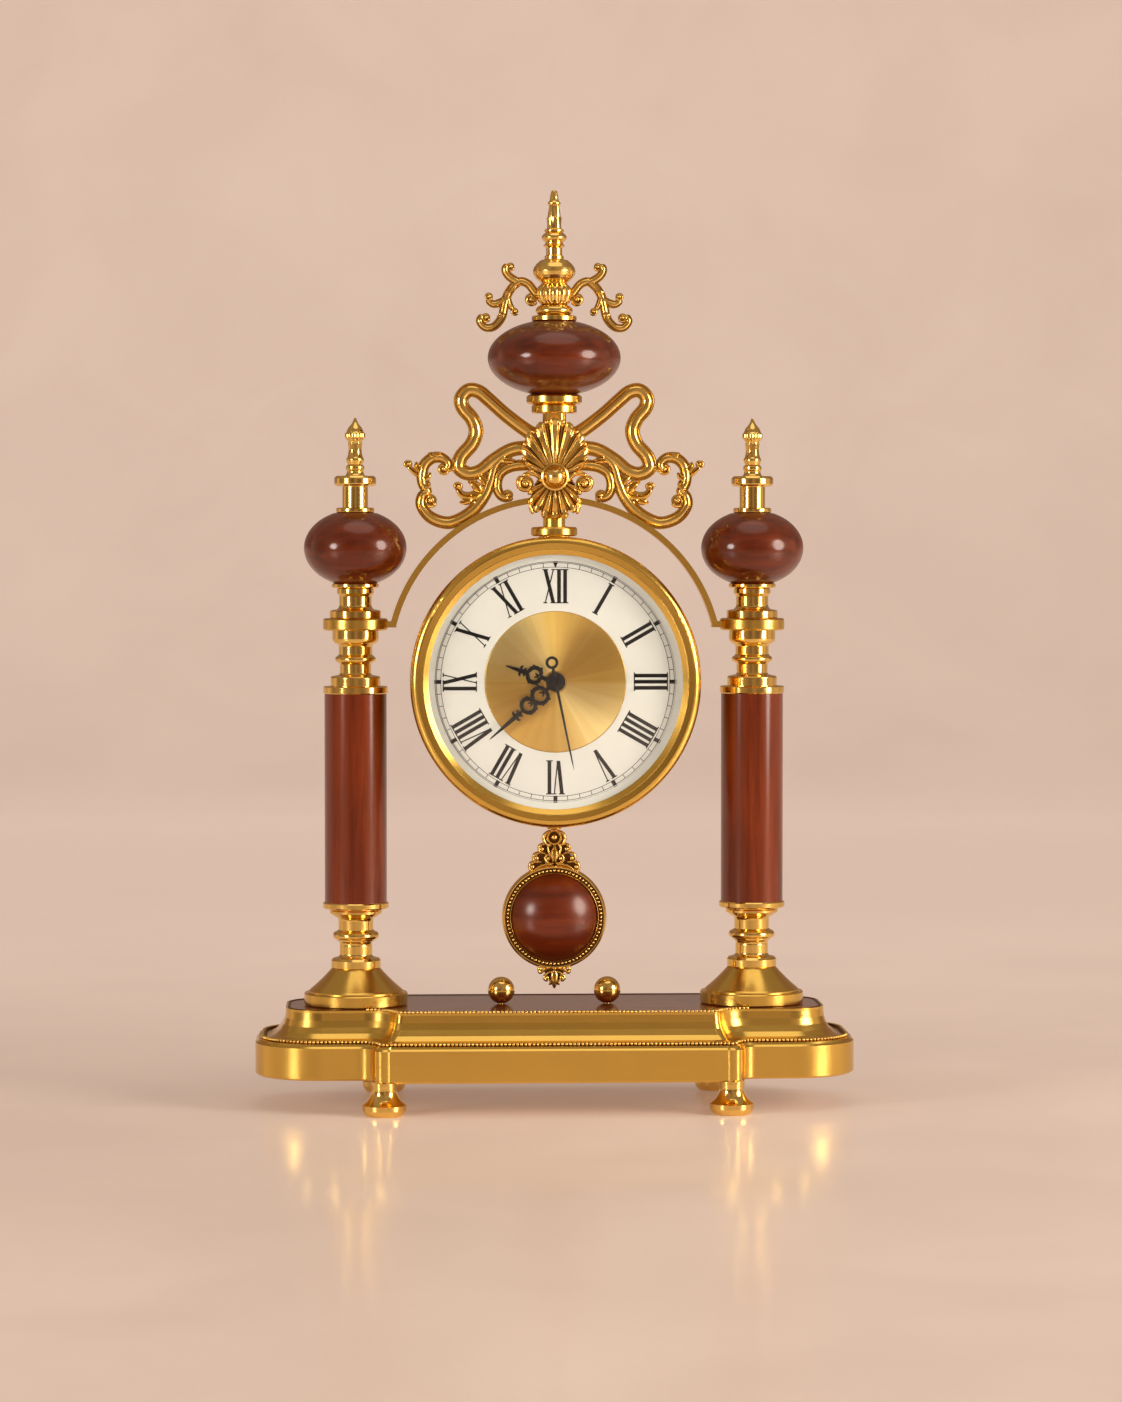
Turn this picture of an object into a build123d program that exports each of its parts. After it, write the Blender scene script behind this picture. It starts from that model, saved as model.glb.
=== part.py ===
from build123d import *
import os
from math import acos, asin, atan2, cos, pi, radians, sin, sqrt, tan

# A table clock: two wooden columns on a brass base carry an arch, the clock case hangs from the arch,
# and a pendulum swings below the case. Millimetres. Z is up, the front faces -Y, and the origin is on
# the table under the middle of the base.

# ---------------------------------------------------------------- driving sizes
FIT = 0.05               # radial clearance of fixed fits
RUN = 0.05               # radial clearance of running fits
OBLATE_STEPS = 6         # points on each half of a ball's outline

# base
LOBE_REACH = 52.7        # column axis to the end of the base
CENTRE_HALF_DEPTH = 62.0
LOBE_STEP = 14.0         # the lobes under the columns stand back from the centre part
LOBE_CORNER_R = 35.0
BUMP_OFFSET = 14.7       # column axis to the bump between lobe and centre, towards the middle
BUMP_DRIFT = 0.6         # how far a bump moves inward for each millimetre of inset
BUMP_R = 5.0
BUMP_R_TOP = 4.0         # bump where it has faded, at the top of the base
BUMP_STAND = 0.8         # bump in front of the centre part
SCALLOP_R = 9.0
SCALLOP_GROWTH = 0.5     # gain in the scallop's radius for each millimetre of inset
FOOT_H = 17.8
FOOT_SETBACK = 12.0      # foot axis behind the front of the centre part
FOOT_STUD_R = 2.5
SKIRT_H = 17.7
SKIRT_WALL = 2.5
LEDGE_INSET = 4.6        # ledge that carries the lower bead
COVE_RUN = 11.4
COVE_H = 14.5
LIP_H = 1.5
LIP_WIDTH = 2.5
PANEL_T = 2.0
TOP_WALL = 2.0
PLATE_T = 2.0
BEAD_R = 0.85
BALL_X = 28.0
BALL_R = 7.1
BALL_STUD_R = 1.5
PLATE_SCREW_X = 49.5
PLATE_SCREW_Y = 28.8
SCREW_R = 1.5
SCREW_HEAD_R = 3.0
SCREW_HEAD_T = 1.4
SCREW_DEPTH = 7.0        # screw above the bottom plate
BOSS_R = 3.5

# columns
CONE_R = 27.3
CONE_H = 19.2
LOWER_SPINDLE_H = 35.0
WOOD_R = 16.4
UPPER_SPINDLE_H = 33.3
COLLAR_R = 17.0
COLLAR_H = 6.3
SEAT_H = 18.5
WOOD_BALL_R = 27.0
WOOD_BALL_H = 36.9
WOOD_BALL_SEAT_R = 11.0
FINIAL_H = 49.9
ROD_R = 2.5
ROD_END_DEPTH = 20.0     # tie rod inside the finial
NUT_R = 4.6
NUT_T = 3.0
WASHER_R = 8.0
WASHER_T = 1.0
ROD_BELOW_NUT = 1.5

# pendulum
PENDULUM_FLOOR_GAP = 7.6
DROP_H = 10.6
BOB_R = 27.6
BOB_RING_T = 6.0
BOB_RING_WIDTH = 4.7     # bob's rim to the edge of the wooden dome
BOB_DOME_H = 11.0        # dome's top in front of the pendulum's plane
CASTING_T = 4.0          # thickness of the pendulum's castings and the wings
MAGNET = 3.0
CREST_H = 18.8           # pendulum crest above the bob ring
HOOK_H = 3.4
PENDULUM_TOP_GAP = 2.0
SWING = 6.0              # degrees either way
PENDULUM_ROD_R = 1.5
PIVOT_ABOVE_DRUM = 24.9
PIVOT_R = 1.0
PIVOT_EYE_R = 3.0
PIVOT_HALF_L = 4.5       # middle of the pivot's cheeks from the plane of the columns

# case, measured forward (towards -Y) from the plane of the columns
DRUM_R = 73.0
DRUM_WALL = 1.5
DRUM_BACK = -10.5
BEZEL_OVER_DRUM = 3.2    # bezel's rim outside the drum
STEP_IN_DRUM = 3.3       # bezel's inner step inside the drum's outside
GLASS_IN_DRUM = 6.4      # visible glass inside the drum's outside
LENS_FLANGE = 2.4        # rim of the glass held by the bezel
BACK_SCREW_R = 1.0
BACK_SCREW_HEAD_R = 2.2
WINDOW_DROP = 2.0        # back window's middle below the dial's axis
WINDOW_CORNER_R = 4.0
DIAL_FRONT = 15.0
DIAL_T = 1.0
SPACER_T = 4.0
LENS_T = 2.0
LENS_DOME = 10.0
BEZEL_FRONT = 24.0
LEDGE_T = 1.2
BACK_T = 1.5
CENTRE_DISC_R = 36.9
CENTRE_DISC_T = 0.3
WINDOW_W = 62.0
WINDOW_H = 64.0

# arch and crest
ARCH_T = 3.2
ARCH_DEPTH = 9.0
ARCH_RISE = 21.45        # collar middle above the arch's centre
ARCH_OVERHANG = 1.3
ARCH_CLEAR = 9.6         # bezel's rim to the inside of the arch
BEZEL_GAP = 0.1
HANGER_DISC_H = 4.8
HANGER_NECK_H = 13.2
HANGER_R = 12.2
HANGER_SADDLE_R = 8.0
HANGER_BOLT_HEAD_R = 4.0
HANGER_BOLT_HEAD_T = 2.5
HANGER_NECK_R = 5.8
POST_R = 7.0
POST_FLAT = 6.0
POST_H = 43.4
CROWN_COLLAR_H = 10.0
CROWN_BALL_R = 35.0
CROWN_BALL_H = 38.3
CROWN_BALL_SEAT_R = 11.0
VASE_H = 46.5
SPIRE_H = 22.2
CROWN_ROD_R = 2.0
ROSETTE_UP = 9.9         # rosette's boss above the arch
ROSETTE_T = 4.0
ROSETTE_BOSS_R = 5.8
SCROLL_T = 5.0

# movement
BOX_W = 56.0
BOX_H = 56.0
BOX_FRONT = 13.9
BOX_BACK = -3.0
BOX_WALL = 1.2
STEM_R = 4.0
HOUR_TUBE_R = 2.0
MINUTE_ARBOR_R = 1.25
SECOND_ARBOR_R = 0.5
BATTERY_R = 7.25
BATTERY_L = 50.5
GEAR_T = 1.0
PINION_OVER = 0.1        # a pinion stands out of its partner's faces
PIVOT_PIN_R = 0.5
BOARD_T = 1.0
COIL_R = 3.4
COIL_L = 17.0

# wheels
MOTION_A = 8.64          # dial axis to the minute wheel's axis, towards -X
THIRD_A = 8.5            # dial axis to the third wheel's axis, towards +X
CANNON_TEETH = 12
MINUTE_TEETH = 36
MINUTE_PINION_TEETH = 10
HOUR_TEETH = 40
CENTRE_TEETH = 64
THIRD_PINION_TEETH = 8
THIRD_TEETH = 60
SECOND_PINION_TEETH = 8

# hands, their angles clockwise from the top
HAND_T = 0.6
HOUR_ANGLE = 288.0
MINUTE_ANGLE = 229.1
SECOND_ANGLE = 168.4

# ---------------------------------------------------------------- derived sizes and heights
BEZEL_R = DRUM_R + BEZEL_OVER_DRUM
BEZEL_STEP_R = DRUM_R - STEP_IN_DRUM
GLASS_R = DRUM_R - GLASS_IN_DRUM
LENS_EDGE_R = GLASS_R + LENS_FLANGE
ARCH_R = BEZEL_R + ARCH_CLEAR + ARCH_T
COLUMN_X = ARCH_R - ARCH_OVERHANG + COLLAR_R    # column axes, either side of the middle
LOBE_HALF_DEPTH = CENTRE_HALF_DEPTH - LOBE_STEP
FOOT_Y = CENTRE_HALF_DEPTH - FOOT_SETBACK
BOB_LIP_R = BOB_R - BOB_RING_WIDTH
SKIRT_TOP = FOOT_H + SKIRT_H
LEDGE_Z = SKIRT_TOP + 1.2
COVE_TOP = LEDGE_Z + COVE_H
BASE_TOP = COVE_TOP + LIP_H - 0.2
TOP_INSET = LEDGE_INSET + COVE_RUN
PANEL_INSET = TOP_INSET + LIP_WIDTH
CAVITY_TOP = BASE_TOP - PANEL_T - TOP_WALL
PLATE_TOP = FOOT_H + PLATE_T
BUMP_X = COLUMN_X - BUMP_OFFSET
BOB_Z = BASE_TOP + PENDULUM_FLOOR_GAP + DROP_H + BOB_R
CREST_TOP = BOB_Z + BOB_R + CREST_H
HOOK_TOP = CREST_TOP + HOOK_H
CASE_Z = HOOK_TOP + PENDULUM_TOP_GAP + DRUM_R
PIVOT_Z = CASE_Z - DRUM_R + PIVOT_ABOVE_DRUM
HANGER_Z = CASE_Z + BEZEL_R + BEZEL_GAP
ARCH_UNDER = HANGER_Z + HANGER_DISC_H + HANGER_NECK_H
ARCH_TOP = ARCH_UNDER + ARCH_T
ARCH_Z = ARCH_TOP - ARCH_R
COLLAR_Z = ARCH_Z + ARCH_RISE - COLLAR_H / 2
LOWER_SPINDLE_Z = BASE_TOP + CONE_H
WOOD_Z = LOWER_SPINDLE_Z + LOWER_SPINDLE_H
UPPER_SPINDLE_Z = COLLAR_Z - UPPER_SPINDLE_H
WOOD_H = UPPER_SPINDLE_Z - WOOD_Z
SEAT_Z = COLLAR_Z + COLLAR_H
WOOD_BALL_Z = SEAT_Z + SEAT_H
FINIAL_Z = WOOD_BALL_Z + WOOD_BALL_H
CROWN_COLLAR_Z = ARCH_TOP + POST_H
CROWN_BALL_Z = CROWN_COLLAR_Z + CROWN_COLLAR_H
VASE_Z = CROWN_BALL_Z + CROWN_BALL_H
SPIRE_Z = VASE_Z + VASE_H
ROSETTE_Z = ARCH_TOP + ROSETTE_UP


# ---------------------------------------------------------------- helpers
def profile_edges(points):
    """Edges through (radius, height[, sagitta]) points; a positive sagitta bulges outward going up."""
    edges = []
    for before, after in zip(points, points[1:]):
        start = Vector(before[0], 0, before[1])
        end = Vector(after[0], 0, after[1])
        if len(after) == 3:
            along = (end - start).normalized()
            side = Vector(along.Z, 0, -along.X)
            edges.append(ThreePointArc(start, (start + end) / 2 + side * after[2], end))
        else:
            edges.append(Line(start, end))
    return edges


def turned(points, bore=0.0):
    """A turned piece on the Z axis from its outside profile, bored through."""
    closing = [points[-1][:2], (bore, points[-1][1]), (bore, points[0][1]), points[0][:2]]
    closing = [p for p, q in zip(closing, [None] + closing) if p != q]
    return revolve(make_face(profile_edges(points) + profile_edges(closing)), Axis.Z)


def turned_case(points, bore=0.0):
    """A turned piece on the dial's axis; heights count forward from the plane of the columns."""
    return Pos(0, 0, CASE_Z) * Rot(90, 0, 0) * turned(points, bore)


def rod(radius, bottom, top):
    """An upright round bar on the Z axis."""
    return Pos(0, 0, bottom) * Cylinder(radius, top - bottom, align=(Align.CENTER, Align.CENTER, Align.MIN))


def rod_y(radius, forward_from, forward_to):
    """A round bar along the dial's direction through the origin's height, given by forward distances."""
    return Rot(90, 0, 0) * rod(radius, forward_from, forward_to)


def block(x0, x1, forward0, forward1, z0, z1):
    """A box between two X values, two forward distances and two heights."""
    middle = Pos((x0 + x1) / 2, -(forward0 + forward1) / 2, (z0 + z1) / 2)
    return middle * Box(x1 - x0, forward1 - forward0, z1 - z0)


def oblate(radius, height, seat_r, bore):
    """A flattened ball standing on its seat at z = 0."""
    half = height / 2
    pole = half / sqrt(1 - (seat_r / radius) ** 2)
    end = asin(half / pole)
    turns = [end * i / OBLATE_STEPS for i in range(-OBLATE_STEPS, OBLATE_STEPS + 1)]
    side = Spline([(radius * cos(turn), 0, half + pole * sin(turn)) for turn in turns])
    inside = Polyline((seat_r, 0, height), (bore, 0, height), (bore, 0, 0), (seat_r, 0, 0))
    return revolve(make_face(side.edges() + inside.edges()), Axis.Z)


def both_sides(piece):
    """The piece and its mirror image across the middle."""
    return Compound(children=[piece, mirror(piece, Plane.YZ)])


def group(pieces):
    """Separate solids kept in one node."""
    return Compound(children=[solid for piece in pieces for solid in piece.solids()])


os.makedirs("parts", exist_ok=True)


def save(name, piece):
    """Write one node."""
    export_step(piece, f"parts/{name}.step")


def save_pair(name, piece):
    """Write a right-hand piece and its mirrored left-hand twin."""
    save(name + "_right", piece)
    save(name + "_left", mirror(piece, Plane.YZ))


# ---------------------------------------------------------------- base
def quarter_outline(inset):
    """One quarter of the base's plan, from its end to its middle: lists of two or three points."""
    end_x = COLUMN_X + LOBE_REACH - inset
    corner = LOBE_CORNER_R - inset
    lobe_y = LOBE_HALF_DEPTH - inset
    centre_y = CENTRE_HALF_DEPTH - inset
    fade = max(0.0, 1 - inset / TOP_INSET)
    bump_r = BUMP_R_TOP + (BUMP_R - BUMP_R_TOP) * fade
    bump_x = BUMP_X - BUMP_DRIFT * inset
    bump_y = centre_y + BUMP_STAND * fade - bump_r
    scallop_r = SCALLOP_R + SCALLOP_GROWTH * inset
    scallop_y = lobe_y + scallop_r
    reach = bump_r + scallop_r
    scallop_x = bump_x + sqrt(reach ** 2 - (bump_y - scallop_y) ** 2)
    lean = atan2(scallop_y - bump_y, scallop_x - bump_x)
    join = (bump_x + bump_r * cos(lean), bump_y + bump_r * sin(lean))
    inner = atan2(centre_y - bump_y, -sqrt(max(0.0, bump_r ** 2 - (centre_y - bump_y) ** 2)))
    bump_end = (bump_x + bump_r * cos(inner), centre_y)
    over = (lean + inner) / 2
    bump_top = (bump_x + bump_r * cos(over), bump_y + bump_r * sin(over))
    under = (lean + pi + 1.5 * pi) / 2
    scallop_mid = (scallop_x + scallop_r * cos(under), scallop_y + scallop_r * sin(under))
    corner_mid = (end_x - corner * (1 - cos(pi / 4)), lobe_y - corner * (1 - sin(pi / 4)))
    return [
        [(end_x, 0), (end_x, lobe_y - corner)],
        [(end_x, lobe_y - corner), corner_mid, (end_x - corner, lobe_y)],
        [(end_x - corner, lobe_y), (scallop_x, lobe_y)],
        [(scallop_x, lobe_y), scallop_mid, join],
        [join, bump_top, bump_end],
        [bump_end, (0, centre_y)],
    ]


def base_outline(inset, z):
    """The base's plan outline as a face at height z, every side moved in by the inset."""
    quarter = quarter_outline(inset)
    strokes = list(quarter)
    strokes += [[(-x, y) for x, y in stroke[::-1]] for stroke in quarter[::-1]]
    strokes += [[(-x, -y) for x, y in stroke] for stroke in quarter]
    strokes += [[(x, -y) for x, y in stroke[::-1]] for stroke in quarter[::-1]]
    edges = []
    for stroke in strokes:
        points = [(x, y, z) for x, y in stroke]
        edges.append(Line(*points) if len(points) == 2 else ThreePointArc(*points))
    return make_face(edges)


def base_prism(inset, z0, z1):
    """An upright prism of the base's plan outline."""
    return extrude(base_outline(inset, z0), z1 - z0, dir=(0, 0, 1))


def cove_levels(inset, z, height, steps=6):
    """Inset and height pairs up a hollow quarter round."""
    turns = [pi / 2 * i / steps for i in range(steps + 1)]
    return [(inset + COVE_RUN * sin(turn), z + height * (1 - cos(turn))) for turn in turns]


def base_loft(levels):
    """A solid through plan outlines at (inset, height) levels."""
    return loft([base_outline(inset, z) for inset, z in levels], ruled=True)


def feet_places():
    return [(sx * BUMP_X, sy * FOOT_Y) for sx in (-1, 1) for sy in (-1, 1)]


def screw_places():
    return [(sx * PLATE_SCREW_X, sy * PLATE_SCREW_Y) for sx in (-1, 1) for sy in (-1, 1)]


nut_z = CAVITY_TOP - WASHER_T - NUT_T
rod_end_z = nut_z - ROD_BELOW_NUT

skirt_levels = [(1.0, FOOT_H), (0, FOOT_H + 1), (0, SKIRT_TOP - 1), (1.0, SKIRT_TOP), (1.6, LEDGE_Z - 0.1)]
outer_levels = skirt_levels + cove_levels(LEDGE_INSET, LEDGE_Z, COVE_H) + [(TOP_INSET, BASE_TOP)]
inner_z = LEDGE_Z - SKIRT_WALL
inner_levels = [(SKIRT_WALL, FOOT_H - 1), (SKIRT_WALL, inner_z - 0.1)]
inner_levels += cove_levels(LEDGE_INSET + SKIRT_WALL, inner_z, CAVITY_TOP - inner_z)
base_shell = base_loft(outer_levels) - base_loft(inner_levels)
base_shell -= base_prism(PANEL_INSET, BASE_TOP - PANEL_T, BASE_TOP + 1)
for x, y in screw_places():
    boss = rod(BOSS_R, PLATE_TOP, CAVITY_TOP + 1) - rod(SCREW_R + FIT, PLATE_TOP, PLATE_TOP + SCREW_DEPTH + 1)
    base_shell += Pos(x, y, 0) * boss
for side in (-1, 1):
    base_shell -= Pos(side * COLUMN_X, 0, 0) * rod(ROD_R + FIT, CAVITY_TOP - 1, BASE_TOP + 1)
    base_shell -= Pos(side * BALL_X, 0, 0) * rod(BALL_STUD_R + FIT, CAVITY_TOP - 1, BASE_TOP + 1)
save("base_shell", base_shell)

panel = base_prism(PANEL_INSET + FIT, BASE_TOP - PANEL_T, BASE_TOP)
for side in (-1, 1):
    panel -= Pos(side * COLUMN_X, 0, 0) * rod(ROD_R + FIT, BASE_TOP - 5, BASE_TOP + 1)
    panel -= Pos(side * BALL_X, 0, 0) * rod(BALL_STUD_R + FIT, BASE_TOP - 5, BASE_TOP + 1)
save("base_top_panel", panel)

bottom_plate = base_prism(SKIRT_WALL + FIT, FOOT_H, PLATE_TOP)
for x, y in feet_places():
    bottom_plate -= Pos(x, y, 0) * rod(FOOT_STUD_R + FIT, FOOT_H - 1, PLATE_TOP + 1)
for x, y in screw_places():
    bottom_plate -= Pos(x, y, 0) * rod(SCREW_R + FIT, FOOT_H - 1, PLATE_TOP + 1)
    bottom_plate -= Pos(x, y, 0) * rod(SCREW_HEAD_R + FIT, FOOT_H - 1, FOOT_H + SCREW_HEAD_T)
save("base_bottom_plate", bottom_plate)

# a plain strip stands for each row of beads: round the skirt, and along the front and back of the top
lower_bead = base_prism(LEDGE_INSET - 2 * BEAD_R, LEDGE_Z, LEDGE_Z + 2 * BEAD_R)
lower_bead -= base_prism(LEDGE_INSET, LEDGE_Z - 1, LEDGE_Z + 3 * BEAD_R)
bead_reach = BUMP_X + 2 * BUMP_R
upper_bead = base_prism(TOP_INSET + FIT, BASE_TOP, BASE_TOP + BEAD_R)
upper_bead -= base_prism(TOP_INSET + 2 * BEAD_R, BASE_TOP - 1, BASE_TOP + 3)
upper_bead &= Pos(0, 0, BASE_TOP) * Box(2 * bead_reach, 4 * CENTRE_HALF_DEPTH, 10)
save("bead_trims", group([lower_bead, upper_bead]))

foot = turned([(9.3, 0), (11.5, 3.2, 0.4), (11.5, 5.6), (10.4, 6.4), (6.7, 15.6, -1.5), (6.7, FOOT_H)])
foot += rod(FOOT_STUD_R, FOOT_H - 1, PLATE_TOP)
save("feet", group([Pos(x, y, 0) * foot for x, y in feet_places()]))

plate_screw = rod(SCREW_HEAD_R, FOOT_H, FOOT_H + SCREW_HEAD_T)
plate_screw += rod(SCREW_R, FOOT_H + SCREW_HEAD_T, PLATE_TOP + SCREW_DEPTH)
plate_screw -= Pos(0, 0, FOOT_H) * Box(1, 2 * SCREW_HEAD_R + 1, 1.2)
save("base_plate_screws", group([Pos(x, y, 0) * plate_screw for x, y in screw_places()]))

ball = Pos(0, 0, BASE_TOP + BALL_R) * Sphere(BALL_R) + rod(BALL_STUD_R, CAVITY_TOP, BASE_TOP + 1)
ball -= Pos(0, 0, BASE_TOP - 1) * (Cylinder(BALL_R, 2.1) - Cylinder(BALL_STUD_R, 3))
save("base_balls", both_sides(Pos(BALL_X, 0, 0) * ball))

# ---------------------------------------------------------------- columns, right-hand side mirrored
bore = ROD_R + FIT
column = Pos(COLUMN_X, 0, 0)
cone = turned([(26.6, 0), (CONE_R, 0.8), (CONE_R, 6.0), (26.8, 6.6), (25.0, 6.6), (25.0, 7.4),
               (24.2, 8.2), (13.4, CONE_H - 0.6, -0.3), (13.0, CONE_H)], bore)
save("column_feet", both_sides(column * Pos(0, 0, BASE_TOP) * cone))

lower_spindle = turned([
    (12.6, 0), (13.1, 0.6), (13.1, 4.2), (12.2, 5.4), (9.8, 6.0), (8.6, 7.8, -0.4), (8.6, 12.0),
    (10.0, 14.6, -0.6), (10.2, 15.3), (10.2, 19.5, 2.0), (9.2, 20.4), (9.2, 25.2), (11.4, 27.4, -0.5),
    (13.8, 29.2), (13.8, 30.4), (12.9, 31.0), (12.9, 31.5), (16.8, 31.7), (17.4, 32.3), (17.4, 34.4),
    (16.8, LOWER_SPINDLE_H)], bore)
save("lower_spindles", both_sides(column * Pos(0, 0, LOWER_SPINDLE_Z) * lower_spindle))

wood_column = rod(WOOD_R, WOOD_Z, WOOD_Z + WOOD_H) - rod(bore, WOOD_Z - 1, WOOD_Z + WOOD_H + 1)
save_pair("wood_column", column * wood_column)

upper_spindle = turned([
    (16.5, 0), (17.0, 0.5), (17.0, 3.4), (16.4, 3.9), (13.1, 4.2), (13.1, 8.2), (12.0, 9.2, 0.3),
    (8.6, 10.0), (8.2, 10.8), (8.2, 15.4), (9.4, 16.4), (9.4, 19.8, 1.3), (8.8, 20.6), (8.8, 24.8),
    (9.8, 26.0), (12.2, 29.4, 0.8), (12.2, UPPER_SPINDLE_H)], bore)
save("upper_spindles", both_sides(column * Pos(0, 0, UPPER_SPINDLE_Z) * upper_spindle))

ball_seat = turned([
    (13.0, 0), (13.5, 0.5), (13.5, 3.7), (12.8, 4.2), (11.2, 4.6), (8.5, 7.0, -0.8), (8.5, 11.5),
    (9.4, 12.8), (9.7, 13.2), (9.7, 15.4), (9.2, 15.8), (11.8, 16.0), (12.4, 16.6), (12.4, 17.9),
    (11.5, SEAT_H)], bore)
save("ball_seats", both_sides(column * Pos(0, 0, SEAT_Z) * ball_seat))

wood_ball = oblate(WOOD_BALL_R, WOOD_BALL_H, WOOD_BALL_SEAT_R, bore)
save("wood_balls", both_sides(column * Pos(0, 0, WOOD_BALL_Z) * wood_ball))

finial = turned([
    (9.6, 0), (10.0, 0.5), (10.0, 2.2), (9.5, 2.7), (6.7, 2.9), (6.7, 13.7), (10.2, 14.2),
    (11.0, 15.2), (11.0, 18.2), (10.0, 19.4), (5.4, 19.6), (4.4, 22.0, -0.4), (4.8, 23.0), (4.8, 24.4),
    (3.8, 25.4), (4.6, 27.4), (4.6, 28.4), (3.3, 33.4, -0.3), (3.6, 37.4), (5.3, 39.6), (5.3, 41.6),
    (4.4, 42.6), (3.0, 45.4, 0.2), (0.6, FINIAL_H, -0.4)])
finial -= rod(bore, -1, ROD_END_DEPTH)
save("finials", both_sides(column * Pos(0, 0, FINIAL_Z) * finial))

tie_rod = rod(ROD_R, rod_end_z, FINIAL_Z + ROD_END_DEPTH - 1)
save("tie_rods", both_sides(column * tie_rod))
tie_nut = Pos(0, 0, nut_z) * extrude(RegularPolygon(NUT_R, 6), NUT_T)
tie_nut += rod(WASHER_R, CAVITY_TOP - WASHER_T, CAVITY_TOP)
tie_nut -= rod(bore, rod_end_z, CAVITY_TOP + 1)
save("tie_rod_nuts", both_sides(column * tie_nut))

# ---------------------------------------------------------------- arch
collar = turned([(16.2, 0), (COLLAR_R, 0.8), (COLLAR_R, COLLAR_H - 0.8), (16.2, COLLAR_H)], bore)
arch_ring = Circle(ARCH_R) - Circle(ARCH_R - ARCH_T)
arch_keep = Pos(0, ARCH_RISE + ARCH_R) * Rectangle(4 * ARCH_R, 2 * ARCH_R)
lug_x = sqrt(ARCH_R ** 2 - ARCH_RISE ** 2) - ARCH_T
lug_end = COLUMN_X - COLLAR_R + 1
lug = Pos((lug_x + lug_end) / 2, ARCH_RISE) * Rectangle(lug_end - lug_x, ARCH_T)
arch_face = (arch_ring & arch_keep) + lug + mirror(lug, Plane.YZ)
arch = extrude(Plane.XZ * arch_face, ARCH_DEPTH / 2, both=True)
arch = Pos(0, 0, ARCH_Z) * arch
for side in (-1, 1):
    arch += Pos(side * COLUMN_X, 0, COLLAR_Z) * collar
    arch -= Pos(side * COLUMN_X, 0, 0) * rod(bore, COLLAR_Z - 1, COLLAR_Z + COLLAR_H + 1)
arch -= rod(CROWN_ROD_R + FIT, ARCH_UNDER - 2, ARCH_TOP + 1)
save("arch", arch)

# hanger: a saddle on the drum, a round disc and a neck up to the arch
hanger = turned([
    (HANGER_SADDLE_R, HANGER_Z - 12), (HANGER_SADDLE_R, HANGER_Z), (HANGER_R - 0.6, HANGER_Z),
    (HANGER_R, HANGER_Z + 0.8), (HANGER_R, HANGER_Z + 3.8), (HANGER_R - 0.8, HANGER_Z + HANGER_DISC_H),
    (HANGER_NECK_R, HANGER_Z + 5.2), (HANGER_NECK_R, ARCH_UNDER)], CROWN_ROD_R + FIT)
hanger -= turned_case([(DRUM_R, -20), (DRUM_R, 20)])
arch_inside = ARCH_R - ARCH_T
hanger &= Pos(0, 0, ARCH_Z) * Rot(90, 0, 0) * Cylinder(arch_inside, 40)
save("case_hanger", hanger)

post = rod(POST_R, ARCH_TOP - 1, CROWN_COLLAR_Z)
post &= block(-POST_FLAT, POST_FLAT, -POST_R, POST_FLAT, 0, CROWN_BALL_Z)
post -= Pos(0, 0, ARCH_Z) * Rot(90, 0, 0) * Cylinder(ARCH_R, 40)
post -= rod(CROWN_ROD_R + FIT, ARCH_TOP - 2, ROSETTE_Z - 4)
post -= rod(CROWN_ROD_R + FIT, ROSETTE_Z + 8, CROWN_COLLAR_Z + 1)
rosette_hole = Pos(0, 0, ROSETTE_Z) * rod_y(SCREW_R + FIT, -POST_R - 1, POST_FLAT + 1)
post -= rosette_hole
save("crest_post", post)

bolt_head_z = CASE_Z + sqrt((DRUM_R - DRUM_WALL) ** 2 - HANGER_BOLT_HEAD_R ** 2)
hanger_bolt = rod(HANGER_BOLT_HEAD_R, bolt_head_z - HANGER_BOLT_HEAD_T, bolt_head_z)
hanger_bolt += rod(CROWN_ROD_R, bolt_head_z - 1, ROSETTE_Z - 5)
save("hanger_bolt", hanger_bolt)


# ---------------------------------------------------------------- scrollwork
def ribbon(points, widths):
    """A flat ribbon with round ends along a smooth line through (x, z) points."""
    path = Spline(*points)
    steps = 4 * (len(points) - 1)
    left = []
    right = []
    for i in range(steps + 1):
        u = i / steps
        place = path.position_at(u)
        along = path.tangent_at(u)
        at = u * (len(widths) - 1)
        low = min(int(at), len(widths) - 2)
        half = (widths[low] + (widths[low + 1] - widths[low]) * (at - low)) / 2
        left.append(Vector(place.X - along.Y * half, place.Y + along.X * half))
        right.append(Vector(place.X + along.Y * half, place.Y - along.X * half))
    first = path.position_at(0) - path.tangent_at(0) * (left[0] - right[0]).length / 2
    last = path.position_at(1) + path.tangent_at(1) * (left[-1] - right[-1]).length / 2
    edges = [Spline(*left), ThreePointArc(left[-1], last, right[-1]), Spline(*right[::-1]),
             ThreePointArc(right[0], first, left[0])]
    return make_face(edges)


def knob(x, z, radius):
    return Pos(x, z) * Circle(radius)


def casting(faces, thickness, forward=0.0):
    """Flat faces drawn in (x, z), joined and given a thickness about a plane."""
    flat = faces[0]
    for face in faces[1:]:
        flat = flat + face
    solid = extrude(Plane.XZ * flat, thickness / 2, both=True)
    return Pos(0, -forward, 0) * solid


def at_height(points, z):
    """Points with their second value counted up from z."""
    return [(x, z + up) for x, up in points]


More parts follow.
